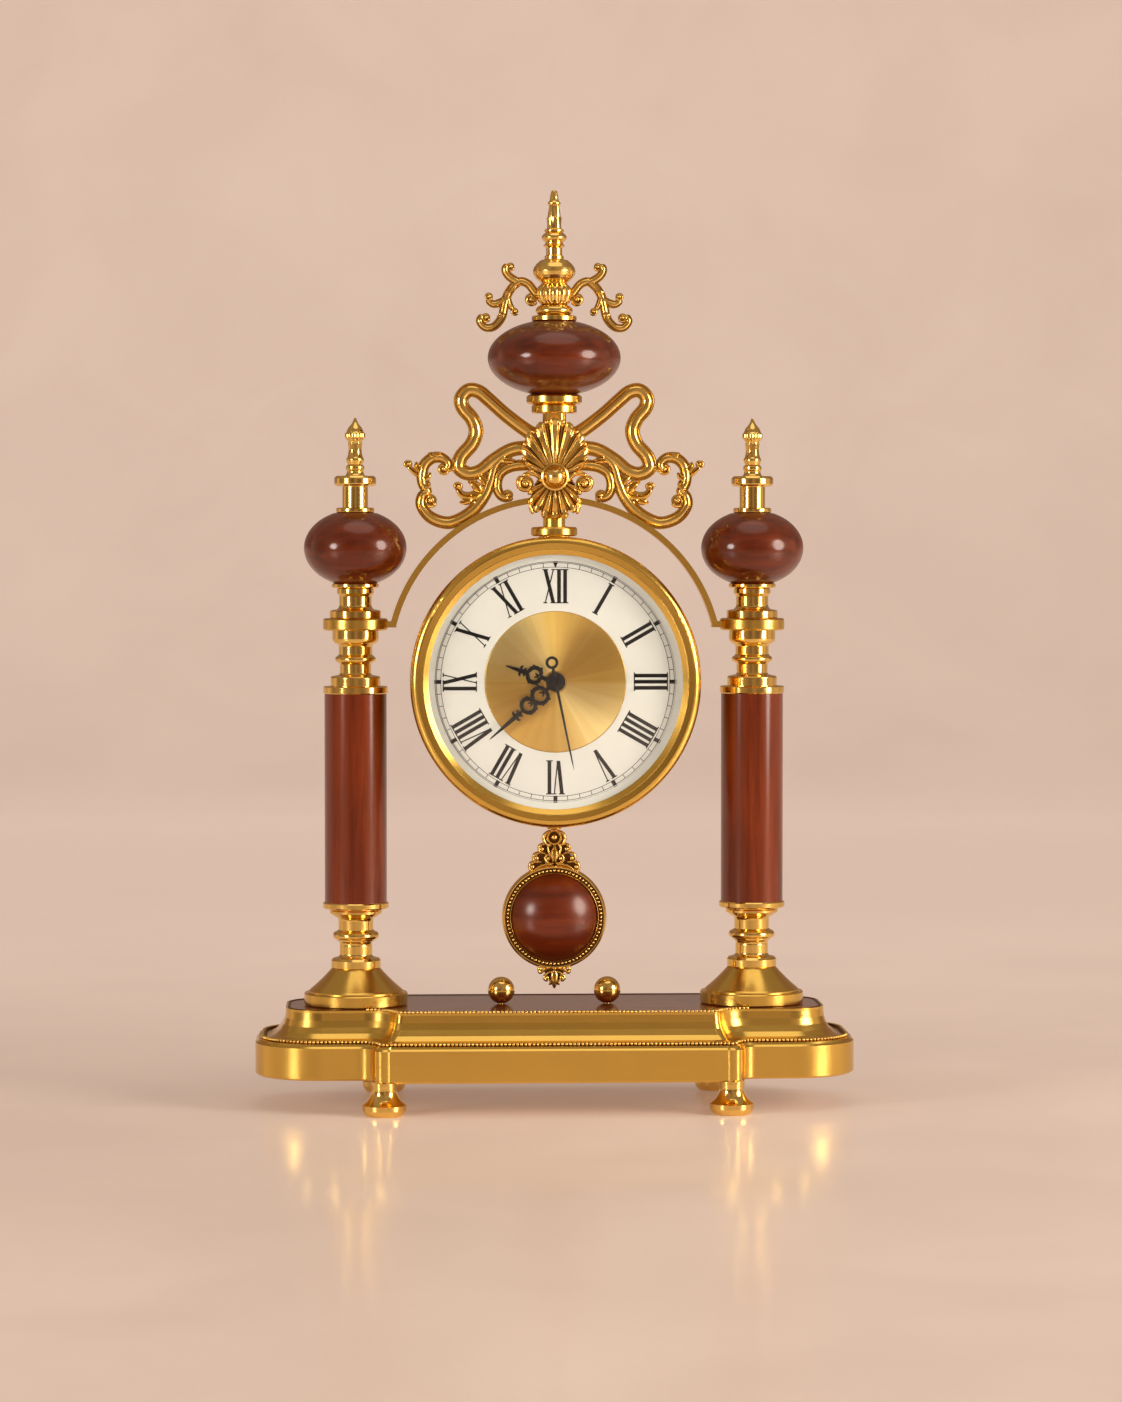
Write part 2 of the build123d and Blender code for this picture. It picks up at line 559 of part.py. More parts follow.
# the right-hand scroll: lines counted up from the arch's top, each with its widths from end to end
scroll_lines = [
    ([(5, 25.4), (16.6, 25.4), (23.9, 23.8), (32.3, 18.6), (38.6, 13.4), (44.9, 11.8), (50.1, 14.9),
      (49, 20.7), (43.3, 27.5), (41.2, 34.3), (43.3, 40.6)], [5.4, 5.6]),
    ([(41.2, 34.3), (43.3, 40.6), (48, 46.4), (48.8, 51.6), (44.9, 55.6), (39.6, 54.8), (34.4, 50.6),
      (24.9, 42.2), (13.4, 33.8), (5, 30.5)], [5.6, 5.6]),
    ([(5, 16.2), (14.5, 16.5), (22.8, 15.5), (28.6, 11.8), (30.2, 5.5), (28.1, 0.3), (23.2, -1.2)],
     [4.2, 4.2, 3.4]),
    ([(24.9, 22.3), (31.2, 16), (33.9, 7.6), (37.5, -0.8), (44.9, -9.2), (55.3, -13.9), (64.8, -11.3),
      (70, -5), (69.3, 0.6), (65.2, 1.8)], [4.6, 4.8, 4.8, 3.6]),
    ([(35.2, 3.4), (42.8, 0.3), (48, 0.3), (51.7, 3.4)], [2.8, 2.8]),
    ([(65.2, 0.8), (69.2, 6.7), (69, 14.9), (64.8, 19.7), (59.5, 20.2), (55.9, 17), (57.6, 13.2)],
     [4.0, 4.4, 3.2]),
    ([(69, 10.5), (73.2, 12.3), (76.4, 14.9)], [3.2, 2.6]),
    ([(49, 16), (53, 14.5), (57.4, 14)], [3.0, 2.6]),
]
scroll_faces = [ribbon(at_height(line, ARCH_TOP), widths) for line, widths in scroll_lines]
scroll_faces += [knob(64.8, ARCH_TOP - 3.6, 2.6), knob(77.3, ARCH_TOP + 16.5, 2.3)]
scrolls = casting(scroll_faces, SCROLL_T)
scrolls -= Pos(0, 0, ARCH_Z) * Rot(90, 0, 0) * Cylinder(ARCH_R, 40)
scrolls -= block(-20, POST_FLAT, -20, 20, ARCH_TOP, CROWN_COLLAR_Z)
save_pair("crest_scroll", scrolls)

# rosette: upper fan, lower fan and side curls on one flat back, with a domed boss
upper_fan = Pos(0, ARCH_TOP + 21.5) * Circle(18) + Pos(0, ARCH_TOP + 32) * Circle(11)
fan_line = [(4.5, -11.6), (9, -6.6), (13, -3.6), (14, 0.4), (10, 6.4)]
fan_line += [(-x, z) for x, z in fan_line[::-1]]
lower_fan = make_face(Polyline(*at_height(fan_line, ARCH_TOP), close=True))
curl = knob(16.6, ARCH_TOP + 6, 3.7)
rosette_faces = [upper_fan, lower_fan, curl, mirror(curl, Plane.YZ)]
rosette_faces.append(Pos(0, ARCH_TOP + 8) * Rectangle(30, 8))
rosette = casting(rosette_faces, ROSETTE_T, POST_FLAT + ROSETTE_T / 2)
half_space = block(-ROSETTE_BOSS_R, ROSETTE_BOSS_R, 0, ROSETTE_BOSS_R, -ROSETTE_BOSS_R, ROSETTE_BOSS_R)
dome = Pos(0, -POST_FLAT - ROSETTE_T, ROSETTE_Z) * (Sphere(ROSETTE_BOSS_R) & half_space)
rosette += dome
rosette &= block(-30, 30, 0, 30, HANGER_Z + HANGER_DISC_H + 0.2, CROWN_COLLAR_Z - 0.2)
rosette -= Pos(0, 0, ROSETTE_Z) * rod_y(SCREW_R + FIT, POST_FLAT - 1, POST_FLAT + 6)
save("shell_rosette", rosette)

rosette_screw = rod_y(SCREW_HEAD_R, -POST_R - 2, -POST_R) + rod_y(SCREW_R, -POST_R - 0.5, POST_FLAT + 5)
rosette_screw = Pos(0, 0, ROSETTE_Z) * rosette_screw
save("rosette_screw", rosette_screw)

crown_bore = CROWN_ROD_R + FIT
crown_collar = turned([
    (11.2, 0), (11.9, 0.6), (11.9, 3.8), (11.0, 4.6), (13.6, 4.9), (14.6, 5.8), (14.6, 8.8),
    (13.0, CROWN_COLLAR_H)], crown_bore)
save("crown_collar", Pos(0, 0, CROWN_COLLAR_Z) * crown_collar)
crown_ball = oblate(CROWN_BALL_R, CROWN_BALL_H, CROWN_BALL_SEAT_R, crown_bore)
save("crown_ball", Pos(0, 0, CROWN_BALL_Z) * crown_ball)

crown_vase = turned([
    (11.2, 0), (11.8, 0.5), (11.8, 2.4), (11.0, 2.9), (8.2, 3.3), (8.2, 8.0, 1.6), (6.6, 8.6),
    (9.0, 11.6, 0.4),
    (9.4, 16.6, 0.5), (6.8, 19.6, 0.3), (7.2, 20.4), (7.2, 32.0, 4.0), (5.0, 32.6), (5.0, 34.2), (4.2, 34.8),
    (4.2, 38.4), (5.8, 39.6), (4.6, 40.8), (4.6, 41.4), (4.6, VASE_H, 2.0)], 0)
crown_vase -= rod(crown_bore, -1, VASE_H)
save("crown_vase", Pos(0, 0, VASE_Z) * crown_vase)

crown_spire = turned([
    (4.2, 0), (4.8, 1.0, 0.3), (3.4, 5.0, 0.3), (3.9, 6.0), (3.4, 10.0, 0.3), (3.0, 13.6), (4.0, 14.2),
    (4.0, 15.6),
    (2.6, 16.4), (1.8, 18.4, -0.2), (0.5, SPIRE_H, 0.2)])
crown_spire -= rod(crown_bore, -1, 6)
save("crown_spire", Pos(0, 0, SPIRE_Z) * crown_spire)
save("crown_rod", rod(CROWN_ROD_R, ROSETTE_Z + 9, SPIRE_Z + 5))

# the right-hand wing: lines counted up from the vase's foot
wing_lines = [
    ([(8, 13.4), (11, 16.2), (13.9, 19.6), (17.9, 20.8), (21.9, 17.9), (24.8, 13.3), (26.3, 7.6),
      (27.7, 1.8), (31.7, -2.8), (36.3, -3.3), (39.2, 0.1), (38.3, 2.7)], [3.4, 3.2, 3.0]),
    ([(18.5, 20.4), (23.7, 23.7), (25.7, 27.1), (24.5, 29.4)], [2.8, 2.6]),
    ([(24.4, 12.4), (28.3, 9.9), (32.3, 9), (35.5, 11.6)], [2.8, 2.4]),
    ([(24.4, 12.8), (23.7, 9.3), (21.7, 5.8)], [2.6, 2.2]),
]
wing_knobs = [(36.3, 2.4, 1.9), (23.0, 28.7, 1.8), (34.6, 13.2, 1.9), (20.9, 5.2, 1.7), (12.4, 12.4, 2.8)]
wing_faces = [ribbon(at_height(line, VASE_Z), widths) for line, widths in wing_lines]
wing_faces += [knob(x, VASE_Z + z, radius) for x, z, radius in wing_knobs]
wing = casting(wing_faces, CASTING_T) - rod(9.8, VASE_Z, VASE_Z + VASE_H)
save("crown_wings", both_sides(wing))

# ---------------------------------------------------------------- case
drum = turned_case([(DRUM_R, DRUM_BACK), (DRUM_R, DIAL_FRONT)], DRUM_R - DRUM_WALL)
dial_ledge = DIAL_FRONT - DIAL_T - LEDGE_T
drum += turned_case([(DRUM_R - 0.5, dial_ledge), (DRUM_R - 0.5, DIAL_FRONT - DIAL_T)], GLASS_R)
back_ledge = DRUM_BACK + BACK_T
drum += turned_case([(DRUM_R - 0.5, back_ledge), (DRUM_R - 0.5, back_ledge + LEDGE_T)], GLASS_R)
lug_r = (GLASS_R + DRUM_R - DRUM_WALL) / 2
back_screw_places = [(lug_r * cos(radians(a)), lug_r * sin(radians(a))) for a in (45, 135, 225, 315)]
for x, z in back_screw_places:
    drum -= Pos(x, 0, CASE_Z + z) * rod_y(BACK_SCREW_R + FIT, back_ledge - 1, back_ledge + 3)
drum -= rod(CROWN_ROD_R + FIT, CASE_Z + GLASS_R, CASE_Z + DRUM_R + 2)
slot_z = CASE_Z - DRUM_R
swing_reach = PIVOT_ABOVE_DRUM * tan(radians(SWING)) + PENDULUM_ROD_R + 1.2
drum -= Pos(0, 0, slot_z) * Box(2 * swing_reach, 7, 14)
save("case_drum", drum)

lens_back = DIAL_FRONT + SPACER_T
lens_front = lens_back + LENS_T
bezel = turned_case([
    (DRUM_R + 1.8, DIAL_FRONT - 6), (DRUM_R + 1.8, DIAL_FRONT), (BEZEL_R, DIAL_FRONT + 1),
    (BEZEL_R, BEZEL_FRONT - 4.5), (BEZEL_R - 3.6, BEZEL_FRONT, 1.2), (BEZEL_STEP_R, BEZEL_FRONT - 0.4),
    (BEZEL_STEP_R - 0.4, BEZEL_FRONT - 1.0), (GLASS_R, lens_front)], GLASS_R)
bezel -= turned_case([(LENS_EDGE_R + FIT, DIAL_FRONT), (LENS_EDGE_R + FIT, lens_front)])
bezel -= turned_case([(DRUM_R + FIT, DRUM_BACK), (DRUM_R + FIT, DIAL_FRONT)])
save("bezel", bezel)

dome_radius = (GLASS_R ** 2 + LENS_DOME ** 2) / (2 * LENS_DOME)
dome_centre = lens_front + LENS_DOME - dome_radius
shell = Sphere(dome_radius) - Sphere(dome_radius - LENS_T)
lens = turned_case([(LENS_EDGE_R, lens_back), (LENS_EDGE_R, lens_front)], GLASS_R - 4)
front_half = turned_case([(GLASS_R, lens_back), (GLASS_R, BEZEL_FRONT + 30)])
lens += (Pos(0, -dome_centre, CASE_Z) * shell) & front_half
save("lens", lens)

save("lens_spacer", turned_case([(LENS_EDGE_R, DIAL_FRONT), (LENS_EDGE_R, lens_back)], GLASS_R + 0.2))

stem_hole = STEM_R + FIT
save("dial_plate", turned_case([(LENS_EDGE_R, DIAL_FRONT - DIAL_T), (LENS_EDGE_R, DIAL_FRONT)], stem_hole))
disc_front = DIAL_FRONT + CENTRE_DISC_T
save("dial_centre", turned_case([(CENTRE_DISC_R, DIAL_FRONT), (CENTRE_DISC_R, disc_front)], stem_hole))

back_cover = turned_case([(DRUM_R - DRUM_WALL - FIT, DRUM_BACK), (DRUM_R - DRUM_WALL - FIT, back_ledge)])
window = extrude(Plane.XZ * RectangleRounded(WINDOW_W, WINDOW_H, WINDOW_CORNER_R), 40, both=True)
back_cover -= Pos(0, 0, CASE_Z - WINDOW_DROP) * window
back_screws = []
for x, z in back_screw_places:
    back_cover -= Pos(x, 0, CASE_Z + z) * rod_y(BACK_SCREW_R + FIT, DRUM_BACK - 1, back_ledge + 1)
    screw = rod_y(BACK_SCREW_HEAD_R, DRUM_BACK - 1.2, DRUM_BACK)
    screw += rod_y(BACK_SCREW_R, DRUM_BACK - 1, back_ledge + LEDGE_T + 0.6)
    back_screws.append(Pos(x, 0, CASE_Z + z) * screw)
save("back_cover", back_cover)
save("back_cover_screws", group(back_screws))


# ---------------------------------------------------------------- wheels
def gear_face(teeth, module, addendum, slack):
    """A spur wheel outline with involute flanks; slack is the share of tooth thickness given up."""
    pitch_r = teeth * module / 2
    base_r = pitch_r * cos(radians(20))
    tip_r = pitch_r + addendum * module
    root_r = pitch_r - 1.25 * module
    half = pi / (2 * teeth) * (1 - slack)

    def spread(radius):
        roll = acos(min(1, base_r / max(radius, base_r)))
        involute = tan(roll) - roll
        at_pitch = tan(radians(20)) - radians(20)
        return max(half + at_pitch - involute, 0.0)

    radii = [root_r, max(base_r, root_r + 0.05 * module), pitch_r, tip_r]
    points = []
    for tooth in range(teeth):
        middle = 2 * pi * tooth / teeth
        flank = [(r, spread(r)) for r in radii]
        angles = [(r, middle - a) for r, a in flank] + [(r, middle + a) for r, a in flank[::-1]]
        points += [(r * cos(a), r * sin(a)) for r, a in angles]
    return make_face(Polyline(*points, close=True))


def wheel(teeth, module, forward, thickness, turn=0.0, addendum=0.8, slack=0.2):
    """A toothed disc on the dial's axis line, its back face at the forward distance."""
    flat = Rot(0, 0, turn) * gear_face(teeth, module, addendum, slack)
    return Rot(90, 0, 0) * (Pos(0, 0, forward) * extrude(flat, thickness))


cannon_module = 2 * MOTION_A / (CANNON_TEETH + MINUTE_TEETH)
hour_module = 2 * MOTION_A / (MINUTE_PINION_TEETH + HOUR_TEETH)
centre_module = 2 * THIRD_A / (CENTRE_TEETH + THIRD_PINION_TEETH)
third_module = 2 * THIRD_A / (THIRD_TEETH + SECOND_PINION_TEETH)
dial_axis = Pos(0, 0, CASE_Z)
motion_axis = Pos(-MOTION_A, 0, CASE_Z)
third_axis = Pos(THIRD_A, 0, CASE_Z)

hour_f = 11.2
cannon_f = 9.4
centre_f = 7.2
third_f = 5.0
second_f = 2.8
hour_hand_f = 17.0
minute_hand_f = 18.7
second_hand_f = 20.8
pivot_front = BOX_FRONT - 0.4
pivot_back = BOX_BACK + 0.4

# a wheel has a tooth, and its partner a gap, on the line between their centres
hour_wheel = wheel(HOUR_TEETH, hour_module, hour_f, GEAR_T)
hour_wheel += rod_y(HOUR_TUBE_R, hour_f, hour_hand_f + HAND_T + 0.1)
hour_wheel -= rod_y(MINUTE_ARBOR_R + RUN, hour_f - 1, hour_hand_f + 3)
save("hour_wheel", dial_axis * hour_wheel)

minute_arbor = wheel(CENTRE_TEETH, centre_module, centre_f, GEAR_T)
minute_arbor += wheel(CANNON_TEETH, cannon_module, cannon_f - PINION_OVER, GEAR_T + 2 * PINION_OVER)
minute_arbor += rod_y(MINUTE_ARBOR_R, centre_f - 0.4, minute_hand_f + HAND_T + 0.1)
minute_arbor -= rod_y(SECOND_ARBOR_R + RUN, centre_f - 2, minute_hand_f + 3)
save("minute_arbor", dial_axis * minute_arbor)

second_arbor = wheel(SECOND_PINION_TEETH, third_module, third_f - PINION_OVER, GEAR_T + 2 * PINION_OVER)
second_arbor += rod_y(6.0, second_f, second_f + 0.8)
second_arbor += rod_y(SECOND_ARBOR_R, pivot_back, second_hand_f + 0.5)
save("second_arbor", dial_axis * second_arbor)

third_wheel = wheel(THIRD_TEETH, third_module, third_f, GEAR_T, 180 / THIRD_TEETH)
third_wheel += wheel(THIRD_PINION_TEETH, centre_module, centre_f - PINION_OVER, GEAR_T + 2 * PINION_OVER,
                     180 / THIRD_PINION_TEETH)
third_wheel += rod_y(PIVOT_PIN_R, pivot_back, pivot_front)
save("third_wheel", third_axis * third_wheel)

minute_wheel = wheel(MINUTE_TEETH, cannon_module, cannon_f, GEAR_T, 180 / MINUTE_TEETH)
minute_wheel += wheel(MINUTE_PINION_TEETH, hour_module, hour_f - PINION_OVER, GEAR_T + 2 * PINION_OVER,
                      180 / MINUTE_PINION_TEETH)
minute_wheel += rod_y(PIVOT_PIN_R, BOX_BACK - 4.5, pivot_front)
save("minute_wheel", motion_axis * minute_wheel)

setting_knob = rod_y(4.0, BOX_BACK - 4.5, BOX_BACK - 0.4)
for i in range(16):
    groove = Rot(0, 22.5 * i, 0) * Pos(4.15, 0, 0) * rod_y(0.4, BOX_BACK - 5, BOX_BACK)
    setting_knob -= groove
setting_knob -= rod_y(PIVOT_PIN_R, BOX_BACK - 5, BOX_BACK)
save("setting_knob", motion_axis * setting_knob)


# ---------------------------------------------------------------- movement
def box_at(x0, x1, forward0, forward1, z0, z1):
    """A block whose heights count from the dial's axis."""
    return block(x0, x1, forward0, forward1, CASE_Z + z0, CASE_Z + z1)


half_w = BOX_W / 2
half_h = BOX_H / 2
floor_f = BOX_FRONT - BOX_WALL
rim_f = BOX_BACK + BOX_WALL
bay_top = -half_h + BOX_WALL + 2 * BATTERY_R + 0.6
front_case = box_at(-half_w, half_w, rim_f, BOX_FRONT, -half_h, half_h)
front_case -= box_at(-half_w + BOX_WALL, half_w - BOX_WALL, rim_f - 1, floor_f,
                     -half_h + BOX_WALL, half_h - BOX_WALL)
front_case += box_at(-half_w, half_w, rim_f, floor_f, bay_top, bay_top + BOX_WALL)
front_case += dial_axis * rod_y(STEM_R, BOX_FRONT - 0.5, hour_hand_f - 0.5)
front_case -= dial_axis * rod_y(HOUR_TUBE_R + RUN, floor_f - 1, hour_hand_f + 1)
front_case -= third_axis * rod_y(PIVOT_PIN_R + RUN, floor_f - 1, BOX_FRONT + 1)
front_case -= motion_axis * rod_y(PIVOT_PIN_R + RUN, floor_f - 1, BOX_FRONT + 1)
for side in (-1, 1):
    front_case += Pos(side * 20, 0, CASE_Z + 16) * rod_y(2, floor_f - 1.5, floor_f)
save("movement_front", front_case)

back_case = box_at(-half_w, half_w, BOX_BACK, rim_f, bay_top + BOX_WALL / 2, half_h)
for place, radius in ((dial_axis, SECOND_ARBOR_R), (third_axis, PIVOT_PIN_R), (motion_axis, PIVOT_PIN_R)):
    back_case -= place * rod_y(radius + RUN, BOX_BACK - 1, rim_f + 1)
save("movement_back", back_case)

nut_front = hour_hand_f - 0.7
stem_nut = dial_axis * rod_y(6.0, disc_front, nut_front)
stem_nut -= dial_axis * rod_y(STEM_R + FIT, disc_front - 1, nut_front + 1)
save("stem_nut", stem_nut)

board_f = floor_f - 1.5 - BOARD_T
board = box_at(-24, 24, board_f, board_f + BOARD_T, 10.5, 22)
coil_f = board_f - 4
coil = Pos(-10, -coil_f, CASE_Z + 17) * Rot(0, 90, 0) * Cylinder(COIL_R, COIL_L)
coil += box_at(-20, -18, coil_f - 4, coil_f + 4, 13, 21) + box_at(-2, 0, coil_f - 4, coil_f + 4, 13, 21)
coil += box_at(0, 9, coil_f - 2, coil_f, 13, 21)
save("motor_board", board + coil)

battery_z = CASE_Z - half_h + BOX_WALL + 0.1 + BATTERY_R
battery_f = floor_f - 0.1 - BATTERY_R
battery = Pos(-0.5, -battery_f, battery_z) * Rot(0, 90, 0) * Cylinder(BATTERY_R, BATTERY_L - 1.5)
battery += Pos(BATTERY_L / 2 - 1.25, -battery_f, battery_z) * Rot(0, 90, 0) * Cylinder(2.7, 1.6)
save("battery", battery)


# ---------------------------------------------------------------- hands
def on_dial(flat, forward, angle):
    """A hand drawn pointing up, turned clockwise by the angle as seen from the front."""
    solid = extrude(flat, HAND_T)
    return dial_axis * Rot(90, 0, 0) * Pos(0, 0, forward) * Rot(0, 0, -angle) * solid


def eye(y, radius, hole):
    return Pos(0, y) * (Circle(radius) - Circle(hole))


def blade(y0, y1, w0, w1):
    return make_face(Polyline((-w0 / 2, y0), (w0 / 2, y0), (w1 / 2, y1), (-w1 / 2, y1), close=True))


hour_flat = Circle(5.1) + blade(4, 9.5, 2.4, 2.0) + eye(12.1, 3.8, 2.2) + blade(15.2, 27.6, 3.0, 0.6)
hour_flat += blade(19.4, 20.6, 5.2, 2.4)
hour_flat -= Circle(HOUR_TUBE_R)
save("hour_hand", on_dial(hour_flat, hour_hand_f, HOUR_ANGLE))
minute_flat = Circle(4.2) + blade(3.4, 8.2, 2.2, 1.8) + eye(11.2, 4.0, 2.4) + eye(19.7, 3.6, 2.1)
minute_flat += blade(14.4, 17.0, 2.0, 2.0) + blade(22.6, 46, 3.0, 0.6) + blade(27.6, 29.0, 5.2, 2.4)
minute_flat -= Circle(MINUTE_ARBOR_R)
save("minute_hand", on_dial(minute_flat, minute_hand_f, MINUTE_ANGLE))
second_flat = Circle(2.2) + blade(1, 46.7, 0.9, 0.5) + blade(-8, 0, 0.9, 0.9) + eye(-10.6, 3.2, 2.2)
second_flat -= Circle(SECOND_ARBOR_R)
save("second_hand", on_dial(second_flat, second_hand_f, SECOND_ANGLE))

# ---------------------------------------------------------------- pendulum drive
drive_top = CASE_Z - half_h
drive = block(-18, 18, -PIVOT_HALF_L - 1, 12, PIVOT_Z + 7, drive_top)
drive += block(-4, 4, PIVOT_HALF_L - 1, PIVOT_HALF_L + 1, PIVOT_Z - 3, drive_top)
drive += block(-4, 4, -PIVOT_HALF_L - 1, -PIVOT_HALF_L + 1, PIVOT_Z - 3, drive_top)
drive += block(-9, 9, 7, 12, PIVOT_Z - 17, drive_top)
drive -= Pos(0, 0, PIVOT_Z) * rod_y(PIVOT_R + FIT, -PIVOT_HALF_L - 2, PIVOT_HALF_L + 2)
save("pendulum_drive", drive)
save("pivot_pin", Pos(0, 0, PIVOT_Z) * rod_y(PIVOT_R, -PIVOT_HALF_L - 1, PIVOT_HALF_L + 1))

pendulum_rod = Pos(0, 0, PIVOT_Z) * rod_y(PIVOT_EYE_R, -1.5, 1.5)
pendulum_rod += rod(PENDULUM_ROD_R, HOOK_TOP - 1, PIVOT_Z - 2)
pendulum_rod -= Pos(0, 0, PIVOT_Z) * rod_y(PIVOT_R + RUN, -3, 3)
pendulum_rod += turned([(3.6, CREST_TOP), (4.0, CREST_TOP + 0.5), (4.0, HOOK_TOP - 0.5), (3.4, HOOK_TOP)])
magnet = block(-MAGNET, MAGNET, PENDULUM_ROD_R, PENDULUM_ROD_R + MAGNET, PIVOT_Z - 15, PIVOT_Z - 9)
save("pendulum_rod", group([pendulum_rod, magnet]))

# the crest's outline down one side from its top, and the drop's down from the ring
crest_line = [(5.4, 0), (6.6, -3.5), (5.0, -6), (9.4, -9), (8.6, -12.5), (13.6, -15.5)]
crest_line += [(13.0, -3.9 - CREST_H)]
crest_line += [(-x, z) for x, z in crest_line[::-1]]
crest_face = make_face(Polyline(*at_height(crest_line, CREST_TOP), close=True))
bob_axis = Pos(0, 0, BOB_Z)
bob_clear = bob_axis * rod_y(BOB_R, -20, 20)
save("pendulum_crest", casting([crest_face], CASTING_T) - bob_clear)

drop_line = [(9, 2.5), (7.4, -1.4), (5.4, -4.4), (2.4, -7.4), (1.6, -DROP_H)]
drop_line += [(-x, z) for x, z in drop_line[::-1]]
drop_face = make_face(Polyline(*at_height(drop_line, BOB_Z - BOB_R), close=True))
save("bob_drop", casting([drop_face], CASTING_T) - bob_clear)

ring_front = BOB_RING_T / 2
seat_f = 1.2 - ring_front
ring = turned([(BOB_R, -ring_front), (BOB_R, 1.5), (BOB_R - 1.0, ring_front, 0.3),
               (BOB_LIP_R + 0.7, ring_front), (BOB_LIP_R, ring_front - 0.4)], BOB_LIP_R)
ring += turned([(BOB_LIP_R + 0.5, -ring_front), (BOB_LIP_R + 0.5, seat_f)], BOB_LIP_R - 2)
save("bob_ring", bob_axis * Rot(90, 0, 0) * ring)
dome_r = BOB_LIP_R - FIT
cabochon = turned([(dome_r, seat_f), (dome_r, 1.8), (0.01, BOB_DOME_H, 5.6)])
save("bob_cabochon", bob_axis * Rot(90, 0, 0) * cabochon)
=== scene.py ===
from functools import partial
from math import cos, exp, pi, radians, sin, sqrt

import bmesh
import bpy
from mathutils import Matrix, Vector


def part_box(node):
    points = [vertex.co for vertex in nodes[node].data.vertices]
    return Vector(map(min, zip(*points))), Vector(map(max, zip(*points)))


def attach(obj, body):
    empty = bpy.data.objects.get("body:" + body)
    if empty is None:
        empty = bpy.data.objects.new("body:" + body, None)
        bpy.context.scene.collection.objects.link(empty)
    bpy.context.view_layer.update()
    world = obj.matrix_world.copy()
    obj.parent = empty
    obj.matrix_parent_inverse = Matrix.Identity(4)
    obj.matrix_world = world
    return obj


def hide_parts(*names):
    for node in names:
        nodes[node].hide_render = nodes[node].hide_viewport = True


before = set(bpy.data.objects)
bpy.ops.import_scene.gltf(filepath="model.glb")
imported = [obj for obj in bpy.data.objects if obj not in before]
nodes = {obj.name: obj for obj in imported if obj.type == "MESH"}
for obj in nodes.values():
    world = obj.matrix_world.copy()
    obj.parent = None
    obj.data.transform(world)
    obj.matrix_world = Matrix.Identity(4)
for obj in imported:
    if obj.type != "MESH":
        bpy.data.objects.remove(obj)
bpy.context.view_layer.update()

# A table clock with two wooden columns, a brass crest and a swinging pendulum. Shapes are drawn in
# millimetres in the model's own frame: Z up, the front facing -Y. They become metres when a piece is made.

MM = 0.001


def low(node):
    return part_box(node)[0] / MM


def high(node):
    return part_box(node)[1] / MM


def middle(node):
    return (low(node) + high(node)) / 2


# ---- places taken from the model
CASE_Z = middle("dial_plate").z
DIAL_F = -low("dial_plate").y              # front faces, counted forward from the plane of the columns
DISC_F = -low("dial_centre").y
DISC_R = high("dial_centre").x
ARCH_TOP = low("crest_post").z
ROSETTE_Z = middle("rosette_screw").z
VASE_Z = low("crown_vase").z
SPIRE_Z = low("crown_spire").z
SPIRE_H = high("crown_spire").z - SPIRE_Z
COLUMN_X = middle("wood_column_right").x
FINIAL_Z = low("finials").z
BOB_Z = middle("bob_ring").z
BOB_R = high("bob_ring").x
CREST_TOP = high("pendulum_crest").z
DROP_Z = low("bob_drop").z

HOUR_ANGLE = 288.0                         # hands, clockwise from the top
MINUTE_ANGLE = 229.1
SECOND_ANGLE = 168.4
HOUR_F = -low("hour_hand").y
MINUTE_F = -low("minute_hand").y
SECOND_F = -low("second_hand").y

# across a ribbon: place from edge to edge, and height towards the front
REEDED = [(-1, 0), (-1, 0.6), (-0.95, 0.76), (-0.84, 0.76), (-0.77, 0.6), (-0.7, 0.46), (-0.62, 0.46),
          (-0.54, 0.7), (-0.42, 0.86), (-0.22, 0.96), (0, 1), (0.22, 0.96), (0.42, 0.86), (0.54, 0.7),
          (0.62, 0.46), (0.7, 0.46), (0.77, 0.6), (0.84, 0.76), (0.95, 0.76), (1, 0.6), (1, 0),
          (0.9, -0.42), (0.5, -0.64), (0, -0.7), (-0.5, -0.64), (-0.9, -0.42)]
ROUND = [(-cos(pi * i / 10), sin(pi * i / 10)) for i in range(20)]
VEINED = [(-1, 0), (-0.85, 0.5), (-0.6, 0.85), (-0.35, 0.9), (-0.14, 0.62), (0, 0.45), (0.14, 0.62),
          (0.35, 0.9), (0.6, 0.85), (0.85, 0.5), (1, 0), (0.6, -0.4), (0, -0.5), (-0.6, -0.4)]


# ---- shapes
def placed(name, data):
    """A new object in the scene."""
    thing = bpy.data.objects.new(name, data)
    bpy.context.scene.collection.objects.link(thing)
    return thing


def between(table, at):
    """The value at a place in rising (place, value) pairs."""
    for (a, before), (b, after) in zip(table, table[1:]):
        if at <= b:
            return before + (after - before) * max(0, (at - a) / (b - a))
    return table[-1][1]


def along(values, share):
    """The value at a share of the way through an even list."""
    place = min(max(share, 0), 1) * (len(values) - 1)
    step = min(int(place), len(values) - 2) if len(values) > 1 else 0
    return values[step] + (values[min(step + 1, len(values) - 1)] - values[step]) * (place - step)


def smooth_line(points, per_span=7):
    """Close points on a smooth line through the given flat points."""
    padded = [points[0]] + list(points) + [points[-1]]
    line = []
    for i in range(len(points) - 1):
        a, b, c, d = [Vector(p) for p in padded[i:i + 4]]
        for k in range(per_span):
            t = k / per_span
            line.append(0.5 * (2 * b + (c - a) * t + (2 * a - 5 * b + 4 * c - d) * t ** 2
                               + (3 * b - a - 3 * c + d) * t ** 3))
    line.append(Vector(points[-1]))
    return line


def mirrored(points):
    return [(-p[0],) + tuple(p[1:]) for p in points]


def lifted(points, z):
    return [(x, z + up) for x, up in points]


ARC_STEPS = 6


